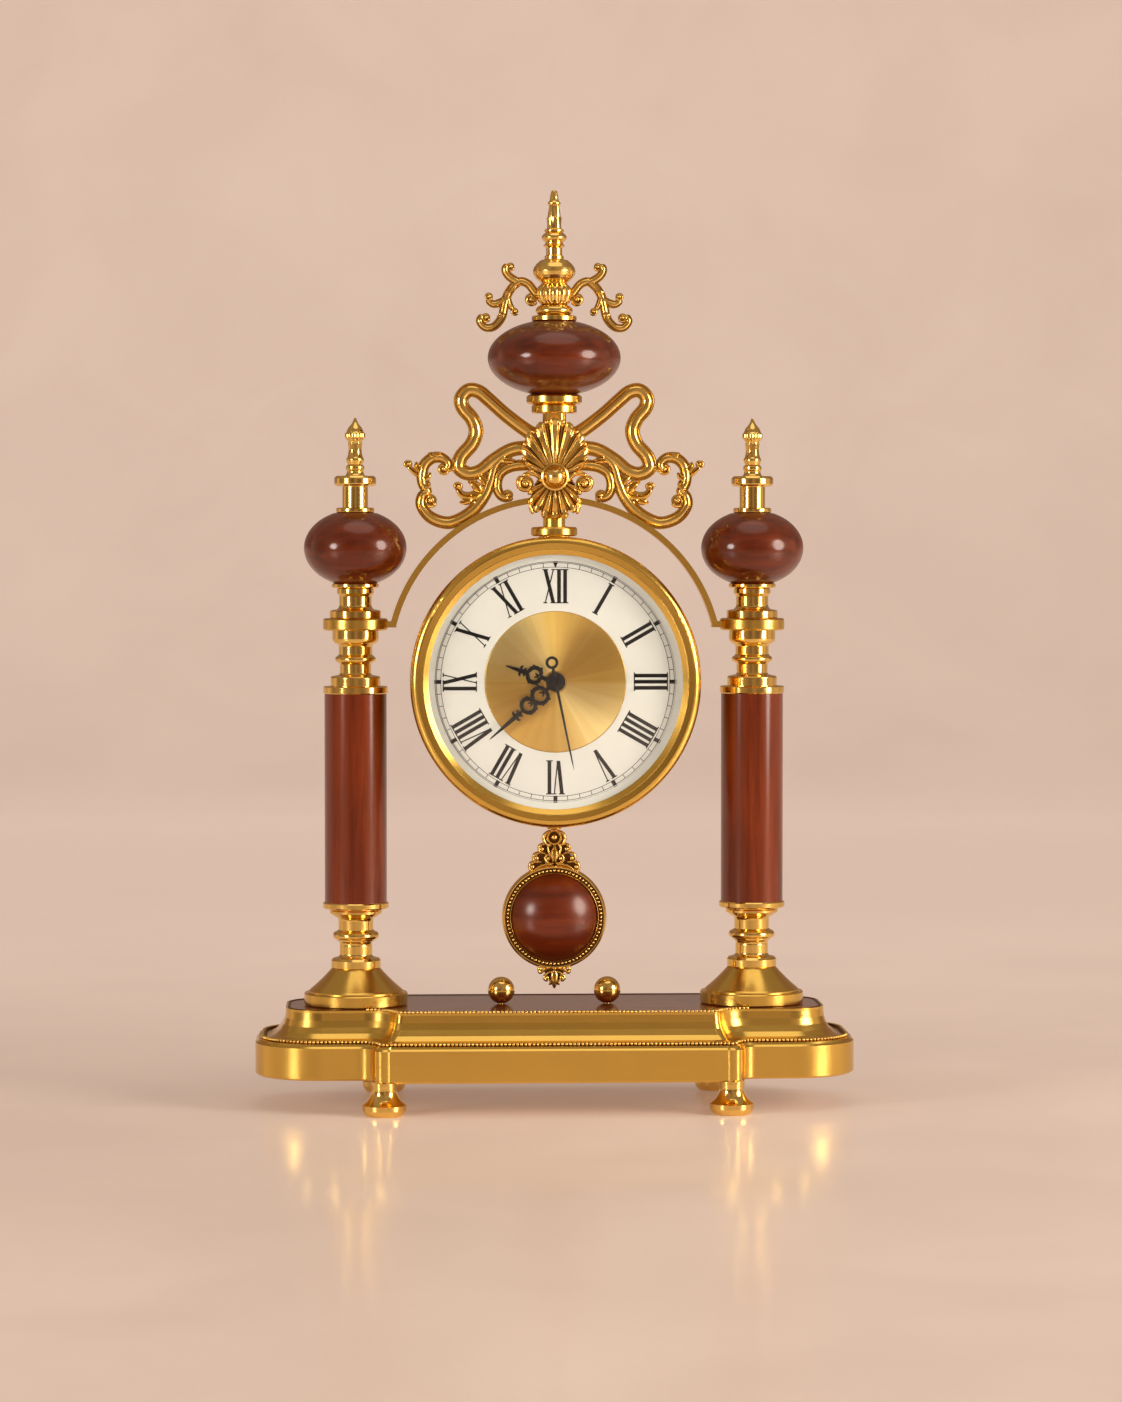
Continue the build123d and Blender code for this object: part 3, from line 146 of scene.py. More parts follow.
def arc_points(profile):
    """A turned profile with its (radius, height, sagitta) arcs divided into short steps."""
    line = [Vector(profile[0][:2])]
    for before, after in zip(profile, profile[1:]):
        start = Vector(before[:2])
        end = Vector(after[:2])
        if len(after) == 2:
            line.append(end)
            continue
        chord = end - start
        side = Vector((chord.y, -chord.x)).normalized()
        for k in range(1, ARC_STEPS + 1):
            t = k / ARC_STEPS
            line.append(start + chord * t + side * after[2] * 4 * t * (1 - t))
    return line


class Shape:
    """The skins of one piece, in millimetres."""

    def __init__(self):
        self.points = []
        self.faces = []

    def tube(self, rings, closed=False):
        """A skin over rings of points: its ends are capped, or joined when closed."""
        start = len(self.points)
        count = len(rings[0])
        rows = len(rings)
        for ring in rings:
            self.points.extend(tuple(p) for p in ring)
        for row in range(rows if closed else rows - 1):
            here = start + row * count
            there = start + (row + 1) % rows * count
            for i in range(count):
                j = (i + 1) % count
                self.faces.append((here + i, here + j, there + j, there + i))
        if not closed:
            self.faces.append(tuple(range(start, start + count))[::-1])
            self.faces.append(tuple(range(start + (rows - 1) * count, start + rows * count)))

    def turned(self, profile, centre, facing="Z", steps=64, ripple=None):
        """A solid of revolution; ripple(angle, height) scales its radius."""
        rings = []
        for radius, height in profile:
            ring = []
            for k in range(steps):
                angle = 2 * pi * k / steps
                r = max(radius, 0.01) * (ripple(angle, height) if ripple else 1)
                if facing == "Z":
                    ring.append((centre[0] + r * cos(angle), centre[1] + r * sin(angle), centre[2] + height))
                else:
                    ring.append((centre[0] + r * sin(angle), centre[1] - height, centre[2] + r * cos(angle)))
            rings.append(ring)
        self.tube(rings)

    def ball(self, centre, radius, steps):
        rows = max(4, steps // 2)
        profile = [(radius * sin(pi * i / rows), -radius * cos(pi * i / rows)) for i in range(rows + 1)]
        self.turned(profile, centre, "Y", steps)

    def hoop(self, centre, radius, half_width, half_thick, steps=48, sides=10):
        """A round ring facing forward."""
        rings = []
        for k in range(steps):
            a = 2 * pi * k / steps
            rings.append([(centre[0] + (radius + half_width * cos(b)) * sin(a),
                           centre[1] - half_thick * sin(b),
                           centre[2] + (radius + half_width * cos(b)) * cos(a))
                          for b in [2 * pi * i / sides for i in range(sides)]])
        self.tube(rings, closed=True)

    def strap(self, points, widths, thick, section=None, y=0.0, ends=(True, True), per_span=7, lift=None):
        """A ribbon of the given section along a smooth line of (x, z) points in a plane facing forward."""
        section = section or REEDED
        line = smooth_line(points, per_span)
        count = len(line) - 1
        lengths = [0]
        for a, b in zip(line, line[1:]):
            lengths.append(lengths[-1] + (b - a).length)
        total = lengths[-1]
        rings = []
        for i, place in enumerate(line):
            share = lengths[i] / total
            tangent = (line[min(i + 1, count)] - line[max(i - 1, 0)]).normalized()
            normal = Vector((-tangent.y, tangent.x))
            half = along(widths, share) / 2
            nose = max(half, 0.4)
            round_off = 1.0
            if ends[0]:
                round_off = min(round_off, sqrt(max(0.02, 1 - max(0, 1 - lengths[i] / nose) ** 2)))
            if ends[1]:
                round_off = min(round_off, sqrt(max(0.02, 1 - max(0, 1 - (total - lengths[i]) / nose) ** 2)))
            depth = min(along(thick, share) if isinstance(thick, (list, tuple)) else thick, 1.6 * half + 0.2)
            rise = along(lift, share) if lift else 0
            rings.append([(place.x + normal.x * u * half * round_off, y - rise - v * depth * round_off,
                           place.y + normal.y * u * half * round_off) for u, v in section])
        self.tube(rings)

    def plate(self, outline, forward0, forward1):
        """A flat plate with an (x, z) outline between two forward distances."""
        self.tube([[(x, -forward0, z) for x, z in outline], [(x, -forward1, z) for x, z in outline]])

    def piece(self, name, body, slot, look, replaced=(), smooth=40):
        """The finished piece: an object that rides on a body and wears a look."""
        low_corner = [min(p[i] for p in self.points) for i in range(3)]
        high_corner = [max(p[i] for p in self.points) for i in range(3)]
        centre = Vector([(a + b) / 2 for a, b in zip(low_corner, high_corner)])
        mesh = bpy.data.meshes.new(name)
        work = bmesh.new()
        made = [work.verts.new((Vector(p) - centre) * MM) for p in self.points]
        for face in self.faces:
            work.faces.new([made[i] for i in face])
        bmesh.ops.recalc_face_normals(work, faces=work.faces)
        work.to_mesh(mesh)
        work.free()
        mesh.polygons.foreach_set("use_smooth", [True] * len(mesh.polygons))
        mesh.set_sharp_from_angle(angle=radians(smooth))
        piece = placed(name, mesh)
        piece.location = centre * MM
        mesh.materials.append(look)
        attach(piece, body)
        if replaced:
            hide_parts(*replaced)
        return piece


# ---- looks
def new_node(tree, kind, inputs=None, **settings):
    """A node with its inputs set, or linked where they are sockets."""
    node = tree.nodes.new(kind)
    for key, value in settings.items():
        setattr(node, key, value)
    for key, value in (inputs or {}).items():
        if isinstance(value, bpy.types.NodeSocket):
            tree.links.new(value, node.inputs[key])
        else:
            node.inputs[key].default_value = value
    return node


class Look:
    """A material built node by node; textures lie in the piece's own space, in millimetres."""

    def __init__(self, name, **finish):
        self.material = bpy.data.materials.new(name)
        self.material.use_nodes = True
        self.tree = self.material.node_tree
        self.shader = self.tree.nodes["Principled BSDF"]
        self.place = self.add("ShaderNodeTexCoord").outputs["Object"]
        for socket, value in finish.items():
            self.shader.inputs[socket.replace("_", " ")].default_value = value

    def add(self, kind, inputs=None, **settings):
        return new_node(self.tree, kind, inputs, **settings)

    def math(self, operation, *values):
        return self.add("ShaderNodeMath", dict(enumerate(values)), operation=operation).outputs[0]

    def vector(self, operation, *values, output="Vector"):
        node = self.add("ShaderNodeVectorMath", dict(enumerate(values)), operation=operation)
        return node.outputs[output]

    def rings(self, distance, scale):
        """Noise in fine rings round an axis, from the distance to it."""
        texture = self.add("ShaderNodeTexNoise", {"W": distance, "Scale": scale, "Detail": 3.0},
                           noise_dimensions="1D")
        return texture.outputs["Fac"]

    def noise(self, scale, detail=4.0, roughness=0.55, distortion=0.0):
        """Noise whose grain size is set in cycles for each metre along X, Y and Z."""
        mapping = self.add("ShaderNodeMapping", {"Vector": self.place, "Scale": scale})
        texture = self.add("ShaderNodeTexNoise", {
            "Vector": mapping.outputs[0], "Scale": 1.0, "Detail": detail, "Roughness": roughness,
            "Distortion": distortion})
        return texture.outputs["Fac"]

    def ramp(self, value, stops):
        """Colours, or greys, at rising places along a value."""
        node = self.add("ShaderNodeValToRGB", {"Fac": value})
        elements = node.color_ramp.elements
        while len(elements) < len(stops):
            elements.new(0.5)
        for element, (place, colour) in zip(elements, stops):
            element.position = place
            element.color = (colour if isinstance(colour, tuple) else (colour,) * 3) + (1,)
        return node.outputs["Color"]

    def spread(self, value, low_value, high_value, start=0.3, end=0.7):
        return self.add("ShaderNodeMapRange", {
            "Value": value, "From Min": start, "From Max": end, "To Min": low_value, "To Max": high_value}
        ).outputs["Result"]

    def blend(self, share, one, two, mode="MIX"):
        node = self.add("ShaderNodeMix", data_type="RGBA", blend_type=mode)
        for socket, value in ((0, share), (6, one), (7, two)):
            if isinstance(value, bpy.types.NodeSocket):
                self.tree.links.new(value, node.inputs[socket])
            else:
                node.inputs[socket].default_value = value if socket == 0 else tuple(value) + (1,)
        return node.outputs[2]

    def wire(self, socket, value):
        self.tree.links.new(value, self.shader.inputs[socket])

    def bump(self, height, depth, strength):
        inputs = {"Height": height, "Distance": depth * MM, "Strength": strength}
        return self.add("ShaderNodeBump", inputs).outputs["Normal"]

    def crevice(self, reach):
        """How open a place is: 1 on the open surface, towards 0 down in the carving."""
        node = self.add("ShaderNodeAmbientOcclusion", {"Distance": reach * MM}, samples=6, only_local=True)
        return node.outputs["AO"]


SCRATCH_DEPTH = 0.002


def brass(name, bright, deep, rough, brushed=None, crevice_shade=0.0, reach=2.0):
    """Brass with a gently cloudy tone, fine scratches and, on castings, painted shade darkening its
    crevices.
    """
    look = Look(name, Metallic=1.0)
    cloud = look.noise((18, 18, 18), 2)
    colour = look.blend(look.spread(cloud, 0.0, 1.0), bright, [0.93 * c for c in bright])
    scratch = look.noise(brushed or (700, 700, 700), 5, 0.6)
    smear = look.noise((45, 45, 45), 3)
    level = look.spread(scratch, rough * 0.93, rough * 1.09)
    level = look.math("ADD", level, look.spread(smear, -0.012, 0.018))
    if crevice_shade:
        # painted shade: places that ambient occlusion finds enclosed get a dark colour and a little more
        # roughness, broken up by fine specks
        speck = look.noise((420, 420, 420), 5)
        cavity = look.ramp(look.crevice(reach), [(0.25, 1.0), (0.85, 0.0)])
        shade_mask = look.math("MULTIPLY", cavity, look.spread(speck, 0.6, 1.0))
        amount = look.math("MULTIPLY", shade_mask, crevice_shade)
        colour = look.blend(amount, colour, deep)
        level = look.math("ADD", level, look.math("MULTIPLY", amount, 0.25))
    look.wire("Base Color", colour)
    look.wire("Roughness", level)
    look.wire("Normal", look.bump(scratch, SCRATCH_DEPTH, 0.5))
    return look.material


# wood colours at rising places along the grain's noise
WOOD_TONES = [(0.28, (0.072, 0.0080, 0.0012)), (0.47, (0.130, 0.0160, 0.0020)),
              (0.62, (0.185, 0.0250, 0.0032)), (0.80, (0.245, 0.0390, 0.0060))]


def mahogany(name, grain, dark=1.0, haze=0.15):
    """Red-brown wood under clear lacquer; grain gives cycles for each metre along X, Y and Z."""
    look = Look(name, Coat_Weight=0.8, Coat_Roughness=haze, Coat_IOR=1.5,
                Specular_IOR_Level=0.45, Specular_Tint=(1.0, 0.26, 0.09, 1.0))
    wide = look.noise(grain, 4, 0.55, 0.3)
    tone = look.ramp(wide, [(place, tuple(c * dark for c in colour)) for place, colour in WOOD_TONES])
    fine = look.noise([4.5 * g for g in grain], 5, 0.65)
    pores = look.ramp(fine, [(0.32, 0.74), (0.48, 1.0)])
    patch = look.ramp(look.noise((16, 16, 16), 2), [(0.35, 0.85), (0.65, 1.08)])
    shaded = look.blend(1.0, tone, pores, "MULTIPLY")
    look.wire("Base Color", look.blend(1.0, shaded, patch, "MULTIPLY"))
    look.wire("Roughness", look.spread(fine, 0.4, 0.52))
    look.wire("Normal", look.bump(fine, 0.01, 0.4))
    look.wire("Coat Normal", look.bump(look.noise((40, 40, 40), 2), 0.03, 0.25))
    return look.material


def plain(name, colour, rough, metallic=0.0, grain=(300, 300, 300), depth=0.01, variation=0.15, **finish):
    """A painted, moulded or machined surface with slight variation in tone, gloss and relief."""
    look = Look(name, Metallic=metallic, **finish)
    cloud = look.noise((35, 35, 35), 4)
    fine = look.noise(grain, 6, 0.6)
    deeper = [c * (1 - variation) for c in colour]
    look.wire("Base Color", look.blend(look.spread(cloud, 0.0, 1.0), colour, deeper))
    look.wire("Roughness", look.spread(fine, rough * 0.85, min(1, rough * 1.15)))
    look.wire("Normal", look.bump(fine, depth, 0.5))
    return look.material


ACROSS_Y = (1, 0, 1)                       # keeps what lies across an axis along Y


def turned_brass(name, bright, rough, centre):
    """Brass turned in a lathe: fine rings round an axis, drawn by the distance from it."""
    look = Look(name, Metallic=1.0)
    from_axis = look.vector("SUBTRACT", look.place, [c * MM for c in centre])
    flat = look.vector("MULTIPLY", from_axis, ACROSS_Y)
    rings = look.rings(look.vector("LENGTH", flat, output="Value"), 1500.0)
    cloud = look.noise((20, 20, 20), 2)
    look.wire("Base Color", look.blend(look.spread(cloud, 0.0, 1.0), bright, [0.93 * c for c in bright]))
    look.wire("Roughness", look.spread(rings, rough * 0.9, rough * 1.12))
    look.wire("Normal", look.bump(rings, SCRATCH_DEPTH, 0.5))
    return look.material


def spun_gold(name):
    """Gold-toned sheet brushed in rings, with a painted highlight fanning out from its middle."""
    look = Look(name, Metallic=1.0, Anisotropic=0.8)
    flat = look.vector("MULTIPLY", look.place, ACROSS_Y)
    rings = look.rings(look.vector("LENGTH", flat, output="Value"), 2600.0)
    # painted highlight: gold that turns brighter and darker twice round the middle, a bow-tie of light put
    # into the colour
    parts = look.add("ShaderNodeSeparateXYZ", {0: flat}).outputs
    turn = look.math("ARCTAN2", parts["X"], parts["Z"])
    painted_fan_wave = look.math("COSINE", look.math("MULTIPLY_ADD", turn, 2.0, PAINTED_FAN_TURN))
    painted_fan_streaks = look.add("ShaderNodeTexNoise", {
        "Vector": look.vector("NORMALIZE", flat), "Scale": 7.0, "Detail": 5.0}).outputs["Fac"]
    fan = look.math("ADD", painted_fan_wave, look.spread(painted_fan_streaks, -0.3, 0.3))
    tone = look.ramp(look.spread(fan, 0.0, 1.0, -1.1, 1.1),
                     [(0.05, (0.70, 0.42, 0.085)), (0.5, (0.84, 0.56, 0.14)), (0.95, (0.98, 0.77, 0.32))])
    fine = look.ramp(rings, [(0.3, 0.94), (0.7, 1.0)])
    look.wire("Base Color", look.blend(1.0, tone, fine, "MULTIPLY"))
    look.wire("Roughness", look.spread(rings, 0.30, 0.36))
    tangent = look.add("ShaderNodeTangent", direction_type="RADIAL", axis="Y")
    look.wire("Tangent", tangent.outputs[0])
    look.wire("Normal", look.bump(rings, 0.001, 0.3))
    return look.material


def clear_glass(name):
    """Thin clear glass that lets light through to the dial."""
    look = Look(name, Transmission_Weight=1.0, IOR=1.5, Roughness=0.0)
    tint = look.ramp(look.noise((20, 20, 20), 2), [(0.3, (0.985, 0.99, 0.985)), (0.7, (1.0, 1.0, 1.0))])
    look.wire("Base Color", tint)
    path = look.add("ShaderNodeLightPath")
    clear = look.add("ShaderNodeBsdfTransparent")
    mix = look.add("ShaderNodeMixShader", {
        0: path.outputs["Is Shadow Ray"], 1: look.shader.outputs[0], 2: clear.outputs[0]})
    look.tree.links.new(mix.outputs[0], look.tree.nodes["Material Output"].inputs["Surface"])
    return look.material


GOLD = (0.90, 0.595, 0.165)
SATIN = (0.80, 0.50, 0.105)
OLD_GOLD = (0.84, 0.56, 0.17)
# the dark brown painted into brass crevices as shade
CREVICE_SHADE = (0.16, 0.075, 0.016)
# which way the painted highlight on the dial's disc fans out
PAINTED_FAN_TURN = 1.75
satin_brass = brass("satin_brass", SATIN, CREVICE_SHADE, 0.22, brushed=(26, 900, 900))
satin_strip = brass("satin_strip", SATIN, CREVICE_SHADE, 0.24, brushed=(500, 500, 500))
satin_cone = brass("satin_brass_turned", SATIN, CREVICE_SHADE, 0.2, brushed=(60, 60, 1500))
satin_bezel = turned_brass("satin_brass_bezel", SATIN, 0.22, (0, 0, CASE_Z))
polished = brass("polished_brass", GOLD, CREVICE_SHADE, 0.12)
bead_brass = brass("bead_brass", GOLD, CREVICE_SHADE, 0.16, crevice_shade=0.3, reach=0.5)
cast_brass = brass("cast_brass", GOLD, CREVICE_SHADE, 0.18, crevice_shade=0.5, reach=0.9)
# old gold with heavy painted shade darkening its crevices
crevice_shaded_brass = brass("antique_brass", OLD_GOLD, (0.07, 0.032, 0.008), 0.2, crevice_shade=0.85, reach=0.8)
# near-black brass for pieces that stand in for shade: bands and a groove behind beads, plates behind pierced
# work
painted_shade_brass = brass("painted_shade_brass", (0.13, 0.062, 0.018), CREVICE_SHADE, 0.4)
wood_upright = mahogany("mahogany_upright", (170, 170, 9))
wood_across = mahogany("mahogany_across", (10, 190, 190), 0.72)
wood_dome = mahogany("mahogany_dome", (11, 8, 120), 0.95, 0.24)
panel_wood = mahogany("panel_lacquer", (7, 190, 190), 0.7)
dial_white = plain("dial_white", (0.66, 0.65, 0.585), 0.45, grain=(500, 500, 500), depth=0.006,
                   variation=0.03)
dial_gold = spun_gold("dial_gold")
dial_black = plain("dial_black", (0.004, 0.004, 0.005), 0.5, variation=0.3, Specular_IOR_Level=0.08)
hand_black = plain("hand_black", (0.004, 0.004, 0.0045), 0.32, variation=0.3, Specular_IOR_Level=0.2)
lens_glass = clear_glass("lens_glass")
steel = plain("steel", (0.56, 0.56, 0.57), 0.3, 1.0, (900, 120, 120), 0.01, 0.1)
black_plastic = plain("black_plastic", (0.022, 0.022, 0.024), 0.5, grain=(1400, 1400, 1400), depth=0.03)
gear_plastic = plain("gear_plastic", (0.72, 0.72, 0.68), 0.45, grain=(800, 800, 800))
battery_wrap = plain("battery_wrap", (0.05, 0.17, 0.07), 0.25, Coat_Weight=0.5)
board_green = plain("board_green", (0.03, 0.16, 0.06), 0.35, grain=(900, 900, 900))

CAD_LOOKS = {
    satin_brass: ["base_shell", "base_bottom_plate"],
    satin_strip: ["arch", "case_hanger"],
    satin_cone: ["column_feet", "crown_collar"],
    satin_bezel: ["bezel", "case_drum", "back_cover"],
    polished: ["feet", "base_balls", "lower_spindles", "upper_spindles", "ball_seats", "crest_post",
               "pendulum_rod", "stem_nut", "rosette_screw"],
    wood_upright: ["wood_column_left", "wood_column_right"],
    wood_across: ["wood_balls", "crown_ball"],
    wood_dome: ["bob_cabochon"],
    panel_wood: ["base_top_panel"],
    dial_white: ["dial_plate", "lens_spacer"],
    lens_glass: ["lens"],
    steel: ["back_cover_screws", "base_plate_screws", "crown_rod", "hanger_bolt", "pivot_pin", "tie_rods",
            "tie_rod_nuts"],
    black_plastic: ["movement_front", "movement_back", "pendulum_drive", "setting_knob"],
    gear_plastic: ["hour_wheel", "minute_arbor", "minute_wheel", "second_arbor", "third_wheel"],
    battery_wrap: ["battery"],
    board_green: ["motor_board"],
}
for look, names in CAD_LOOKS.items():
    for name in names:
        nodes[name].data.materials.clear()
        nodes[name].data.materials.append(look)


# ---- beads round the base
def edge_loops(node, z):
    """Closed lines round the flat faces of a CAD node that face up at height z, longest first."""
    mesh = nodes[node].data
    count = {}
    for polygon in mesh.polygons:
        if polygon.normal.z > 0.99 and abs(polygon.center.z / MM - z) < 0.02:
            corners = [tuple(round(c / MM, 3) for c in mesh.vertices[i].co) for i in polygon.vertices]
            for a, b in zip(corners, corners[1:] + corners[:1]):
                if (b, a) in count:
                    del count[(b, a)]
                else:
                    count[(a, b)] = True
    follow = dict(count.keys())
    loops = []
    while follow:
        start, here = next(iter(follow.items()))
        loop = [start]
        del follow[start]
        while here != start and here in follow:
            loop.append(here)
            here = follow.pop(here)
        loops.append(loop)
    return sorted(loops, key=lambda loop: -sum((Vector(a) - Vector(b)).length
                                               for a, b in zip(loop, loop[1:] + loop[:1])))


def pushed(loop, distance):
    """A counter-clockwise loop moved outward."""
    moved = []
    for i, point in enumerate(loop):
        before = (Vector(point) - Vector(loop[i - 1])).normalized()
        after = (Vector(loop[(i + 1) % len(loop)]) - Vector(point)).normalized()
        way = (before + after).normalized()
        moved.append(Vector(point) + Vector((way.y, -way.x, 0)) * distance / max(0.5, way.dot(after)))
    return moved


def evenly(loop, gap):
    """Places a gap apart along a closed loop."""
    closed = list(loop) + [loop[0]]
    total = sum((b - a).length for a, b in zip(closed, closed[1:]))
    gap = total / round(total / gap)
    places = []
    carry = 0.0
    for a, b in zip(closed, closed[1:]):
        length = (b - a).length
        while carry < length - 1e-6:
            places.append(a + (b - a) * (carry / length))
            carry += gap
        carry -= length
    return places


BEAD_R = 0.88
BEAD_GAP = 2.1
BEAD_INSET = 0.87                          # from the trim's edge to a bead's middle
BACK_DROP = 1.0                            # the back row sits lower than the front one
BAND_THICK = 1.2
ledge_top = high("bead_trims").z
lower_ledge = low("bead_trims").z
bead_reach = max(v.co.x / MM for v in nodes["bead_trims"].data.vertices if v.co.z / MM > ledge_top - 2)


def bead_row(shape, places, z):
    for place in places:
        shape.turned([(BEAD_R * sin(pi * i / 6), -BEAD_R * cos(pi * i / 6)) for i in range(7)],
                     (place.x, place.y, z), steps=9)


def band(line, z, inward, half_height):
    """A closed band of painted shade standing behind a row of beads."""
    front = pushed(line, -inward)
    back = pushed(line, -inward - BAND_THICK)
    shape = Shape()
    shape.tube([[(a.x, a.y, z - half_height), (a.x, a.y, z + half_height), (b.x, b.y, z + half_height),
                 (b.x, b.y, z - half_height)] for a, b in zip(front, back)], closed=True)
    return shape


def base_beads():
    """Rows of small beads before a band of painted shade: one round the skirt, and one along each side of
    the top.
    """
    outer = edge_loops("bead_trims", lower_ledge + 1.7)[0]
    line = pushed([Vector(p) for p in outer], -BEAD_INSET)
    z = lower_ledge + BEAD_INSET
    lower = Shape()
    bead_row(lower, evenly(line, BEAD_GAP), z)
    lower.piece("beads_round_skirt", "clock", "antique_brass", bead_brass, ["bead_trims"])
    band(line, z - 0.25, 0.25, 0.75).piece("bead_band_skirt", "clock", "antique_brass", painted_shade_brass)
    panel = edge_loops("base_top_panel", high("base_top_panel").z)[0]
    line = pushed([Vector(p) for p in panel], 1.7)
    z = ledge_top - 0.5
    places = [p for p in evenly(line, BEAD_GAP) if abs(p.x) < bead_reach]
    upper = Shape()
    bead_row(upper, [p for p in places if p.y < 0], z)
    bead_row(upper, [p for p in places if p.y > 0], z - BACK_DROP)
    upper.piece("beads_on_top_edge", "clock", "antique_brass", bead_brass)
    band(line, z - 0.95, 0.25, 0.9).piece("bead_band_top", "clock", "antique_brass", painted_shade_brass)


base_beads()


# ---- crest
LEAF_RISE = 0.8


def leaf(shape, root, tip, width, y=0.0, thick=1.6, bend=0.0):
    """A pointed leaf with a vein from its root to its tip."""
    root = Vector(root)
    tip = Vector(tip)
    side = Vector((-(tip - root).y, (tip - root).x))
    line = [root, root + (tip - root) * 0.35 + side * bend, root + (tip - root) * 0.7 + side * bend, tip]
    shape.strap([tuple(p) for p in line], [width * 0.5, width, width * 0.85, width * 0.2], thick, VEINED, y,
                ends=(True, True), lift=[0, LEAF_RISE, LEAF_RISE, 0])


def curl(shape, x, z, radius, side, start=0.0, turns=1.15, y=0.0, thick=2.4):
    """The rolled end of a scroll: a rising spiral on a dished back, with a bead in its eye."""
    shape.turned([(radius * 0.5, -thick * 0.7), (radius * 0.9, -thick * 0.4), (radius * 0.9, thick * 0.1),
                  (0, 0)], (x, y, z), "Y", 24)
    line = []
    for k in range(11):
        share = k / 10
        angle = radians(start) + 2 * pi * turns * share
        reach = radius * (0.84 - 0.6 * share)
        line.append((x + side * reach * cos(angle), z + reach * sin(angle)))
    shape.strap(line, [radius * 0.66, radius * 0.58, radius * 0.44, radius * 0.32], thick * 0.95, ROUND, y,
                per_span=4, lift=[0, thick * 0.1, thick * 0.3])
    shape.ball((x, y - thick * 0.75, z), radius * 0.34, 14)


STEM_WIDTH = 1.4
STEM_THICK = 3.0
# one side of the crest: lines counted up from the arch's top, with widths from end to end
CREST_LINES = [
    ([(5, 25.4), (16.6, 25.4), (23.9, 23.8), (32.3, 18.6), (38.6, 13.4), (44.9, 11.8), (50.1, 14.9),
      (49, 20.7), (43.3, 27.5), (41.2, 34.3), (43.3, 40.6), (48, 46.4), (48.8, 51.6), (44.9, 55.6),
      (39.6, 54.8), (34.4, 50.6), (24.9, 42.2), (13.4, 33.8), (5, 30.5)], [5.6, 5.4, 5.6, 5.6, 5.4, 5.6]),
    ([(5, 16.2), (14.5, 16.5), (22.8, 15.5), (28.6, 11.8), (30.2, 5.5), (28.1, 0.3), (23.2, -1.2)],
     [4.4, 4.4, 4.0, 3.6]),
    ([(24.9, 22.3), (31.2, 16), (33.9, 7.6), (37.5, -0.8), (44.9, -9.2), (55.3, -13.9), (64.8, -11.3),
      (70, -5), (69.3, 0.6), (65.2, 1.8)], [3.4, 4.8, 5.0, 4.8, 3.6]),
    ([(65.2, 0.8), (69.2, 6.7), (69, 14.9), (64.8, 19.7), (59.5, 20.2), (55.9, 17), (57.6, 13.2)],
     [3.6, 4.4, 4.4, 3.2]),
]
CURL_SIZE = 1.25
CREST_EYES = [(65.3, -2.2, 3.1), (58.4, 14.4, 2.7), (24.6, 0.6, 2.7)]
# leaves: root, tip, width, depth forward, thickness and bend
SPRAY_LEAVES = [((39, 1.4), (45.5, 7.6), 5.4, -0.3, 2.2, 0.14),
                ((43, -0.4), (50, -3.2), 4.4, -0.3, 2.0, -0.1),
                ((38.5, 0.0), (43.5, -4.4), 3.0, -0.3, 1.6, -0.1),
                ((35.4, 5.0), (40.6, 11.0), 4.4, -0.3, 2.0, 0.1)]
OUTER_LEAVES = [((69.6, 2.5), (66.2, 8.6), 4.4, -0.6, 2.0, 0.1),
                ((70.4, 8.0), (65.0, 12.6), 4.0, -0.6, 2.0, 0.1),
                ((69.0, 12.0), (72.6, 18.2), 4.6, -0.6, 2.0, -0.1),
                ((65.5, 18.5), (59.0, 22.4), 4.2, -0.6, 2.0, -0.1),
                ((62.0, 19.5), (66.5, 22.6), 3.4, -0.6, 1.8, 0.1)]


def crest_side(name, side, node):
    """A pierced scroll with reeded stems, round eyes and leaves."""
    shape = Shape()

    def at(x, up):
        return (side * x, ARCH_TOP + up)

    def leaves(table):
        for root, tip, width, y, thick, bend in table:
            leaf(shape, at(*root), at(*tip), width, y, thick, side * bend)

    for line, widths in CREST_LINES:
        shape.strap([at(x, up) for x, up in line], [w * STEM_WIDTH for w in widths], STEM_THICK)
    for x, up, radius in CREST_EYES:
        curl(shape, side * x, ARCH_TOP + up, radius * CURL_SIZE, side, start=200)
    # the acanthus spray under the long stem
    shape.strap([at(34.2, 6.4), at(38, 2.2), at(43, 0.0), at(48, 0.6), at(51.4, 4.4)],
                [3.4, 5.6, 5.8, 4.4, 2.6], 2.6, VEINED)
    curl(shape, side * 50.4, ARCH_TOP + 5.2, 2.6, side, start=-20)
    leaves(SPRAY_LEAVES)
    # overlapping leaves along the outer scroll
    leaves(OUTER_LEAVES)
    shape.strap([at(69, 10.8), at(72.6, 12.2), at(75, 14.0), at(77.0, 16.0)], [4.4, 4.0, 3.0, 2.4], 2.2,
                VEINED)
    curl(shape, side * 76.8, ARCH_TOP + 17.0, 2.4, side, start=-60)
    shape.strap([at(49, 16), at(52.6, 14.6), at(56.6, 13.4)], [3.4, 2.8, 2.2], 2.0, ROUND)
    # the split at the shoulder where the small loop leaves the stem
    leaf(shape, at(20, 18.2), at(31.5, 18.0), 3.6, -0.4, 2.0, side * 0.06)
    shape.piece(name, "clock", "polished_brass", cast_brass, [node])


crest_side("crest_scroll_carved_right", 1, "crest_scroll_right")
crest_side("crest_scroll_carved_left", -1, "crest_scroll_left")

# reach of the shell's outline from its boss, by angle in degrees up from the side
SHELL_REACH = [(-90, 23), (-75, 22.6), (-60, 21.4), (-45, 19.5), (-30, 16.5), (-15, 10), (5, 10), (20, 15.5),
               (35, 22), (45, 24.5), (55, 26.5), (70, 29), (90, 33)]
UPPER_RIB = 17.0
LOWER_RIB = 15.0
SHELL_STALKS = [([(6, -2), (9.5, 1.2), (13, 1.9), (17, 0.6)], [3.4, 3.2, 2.8, 2.2], 2.6, -1.0),
                ([(6, -8), (9.5, -11), (12.6, -15.4), (11.4, -19.5)], [2.2, 2.8, 2.6, 1.8], 2.0, -0.8)]


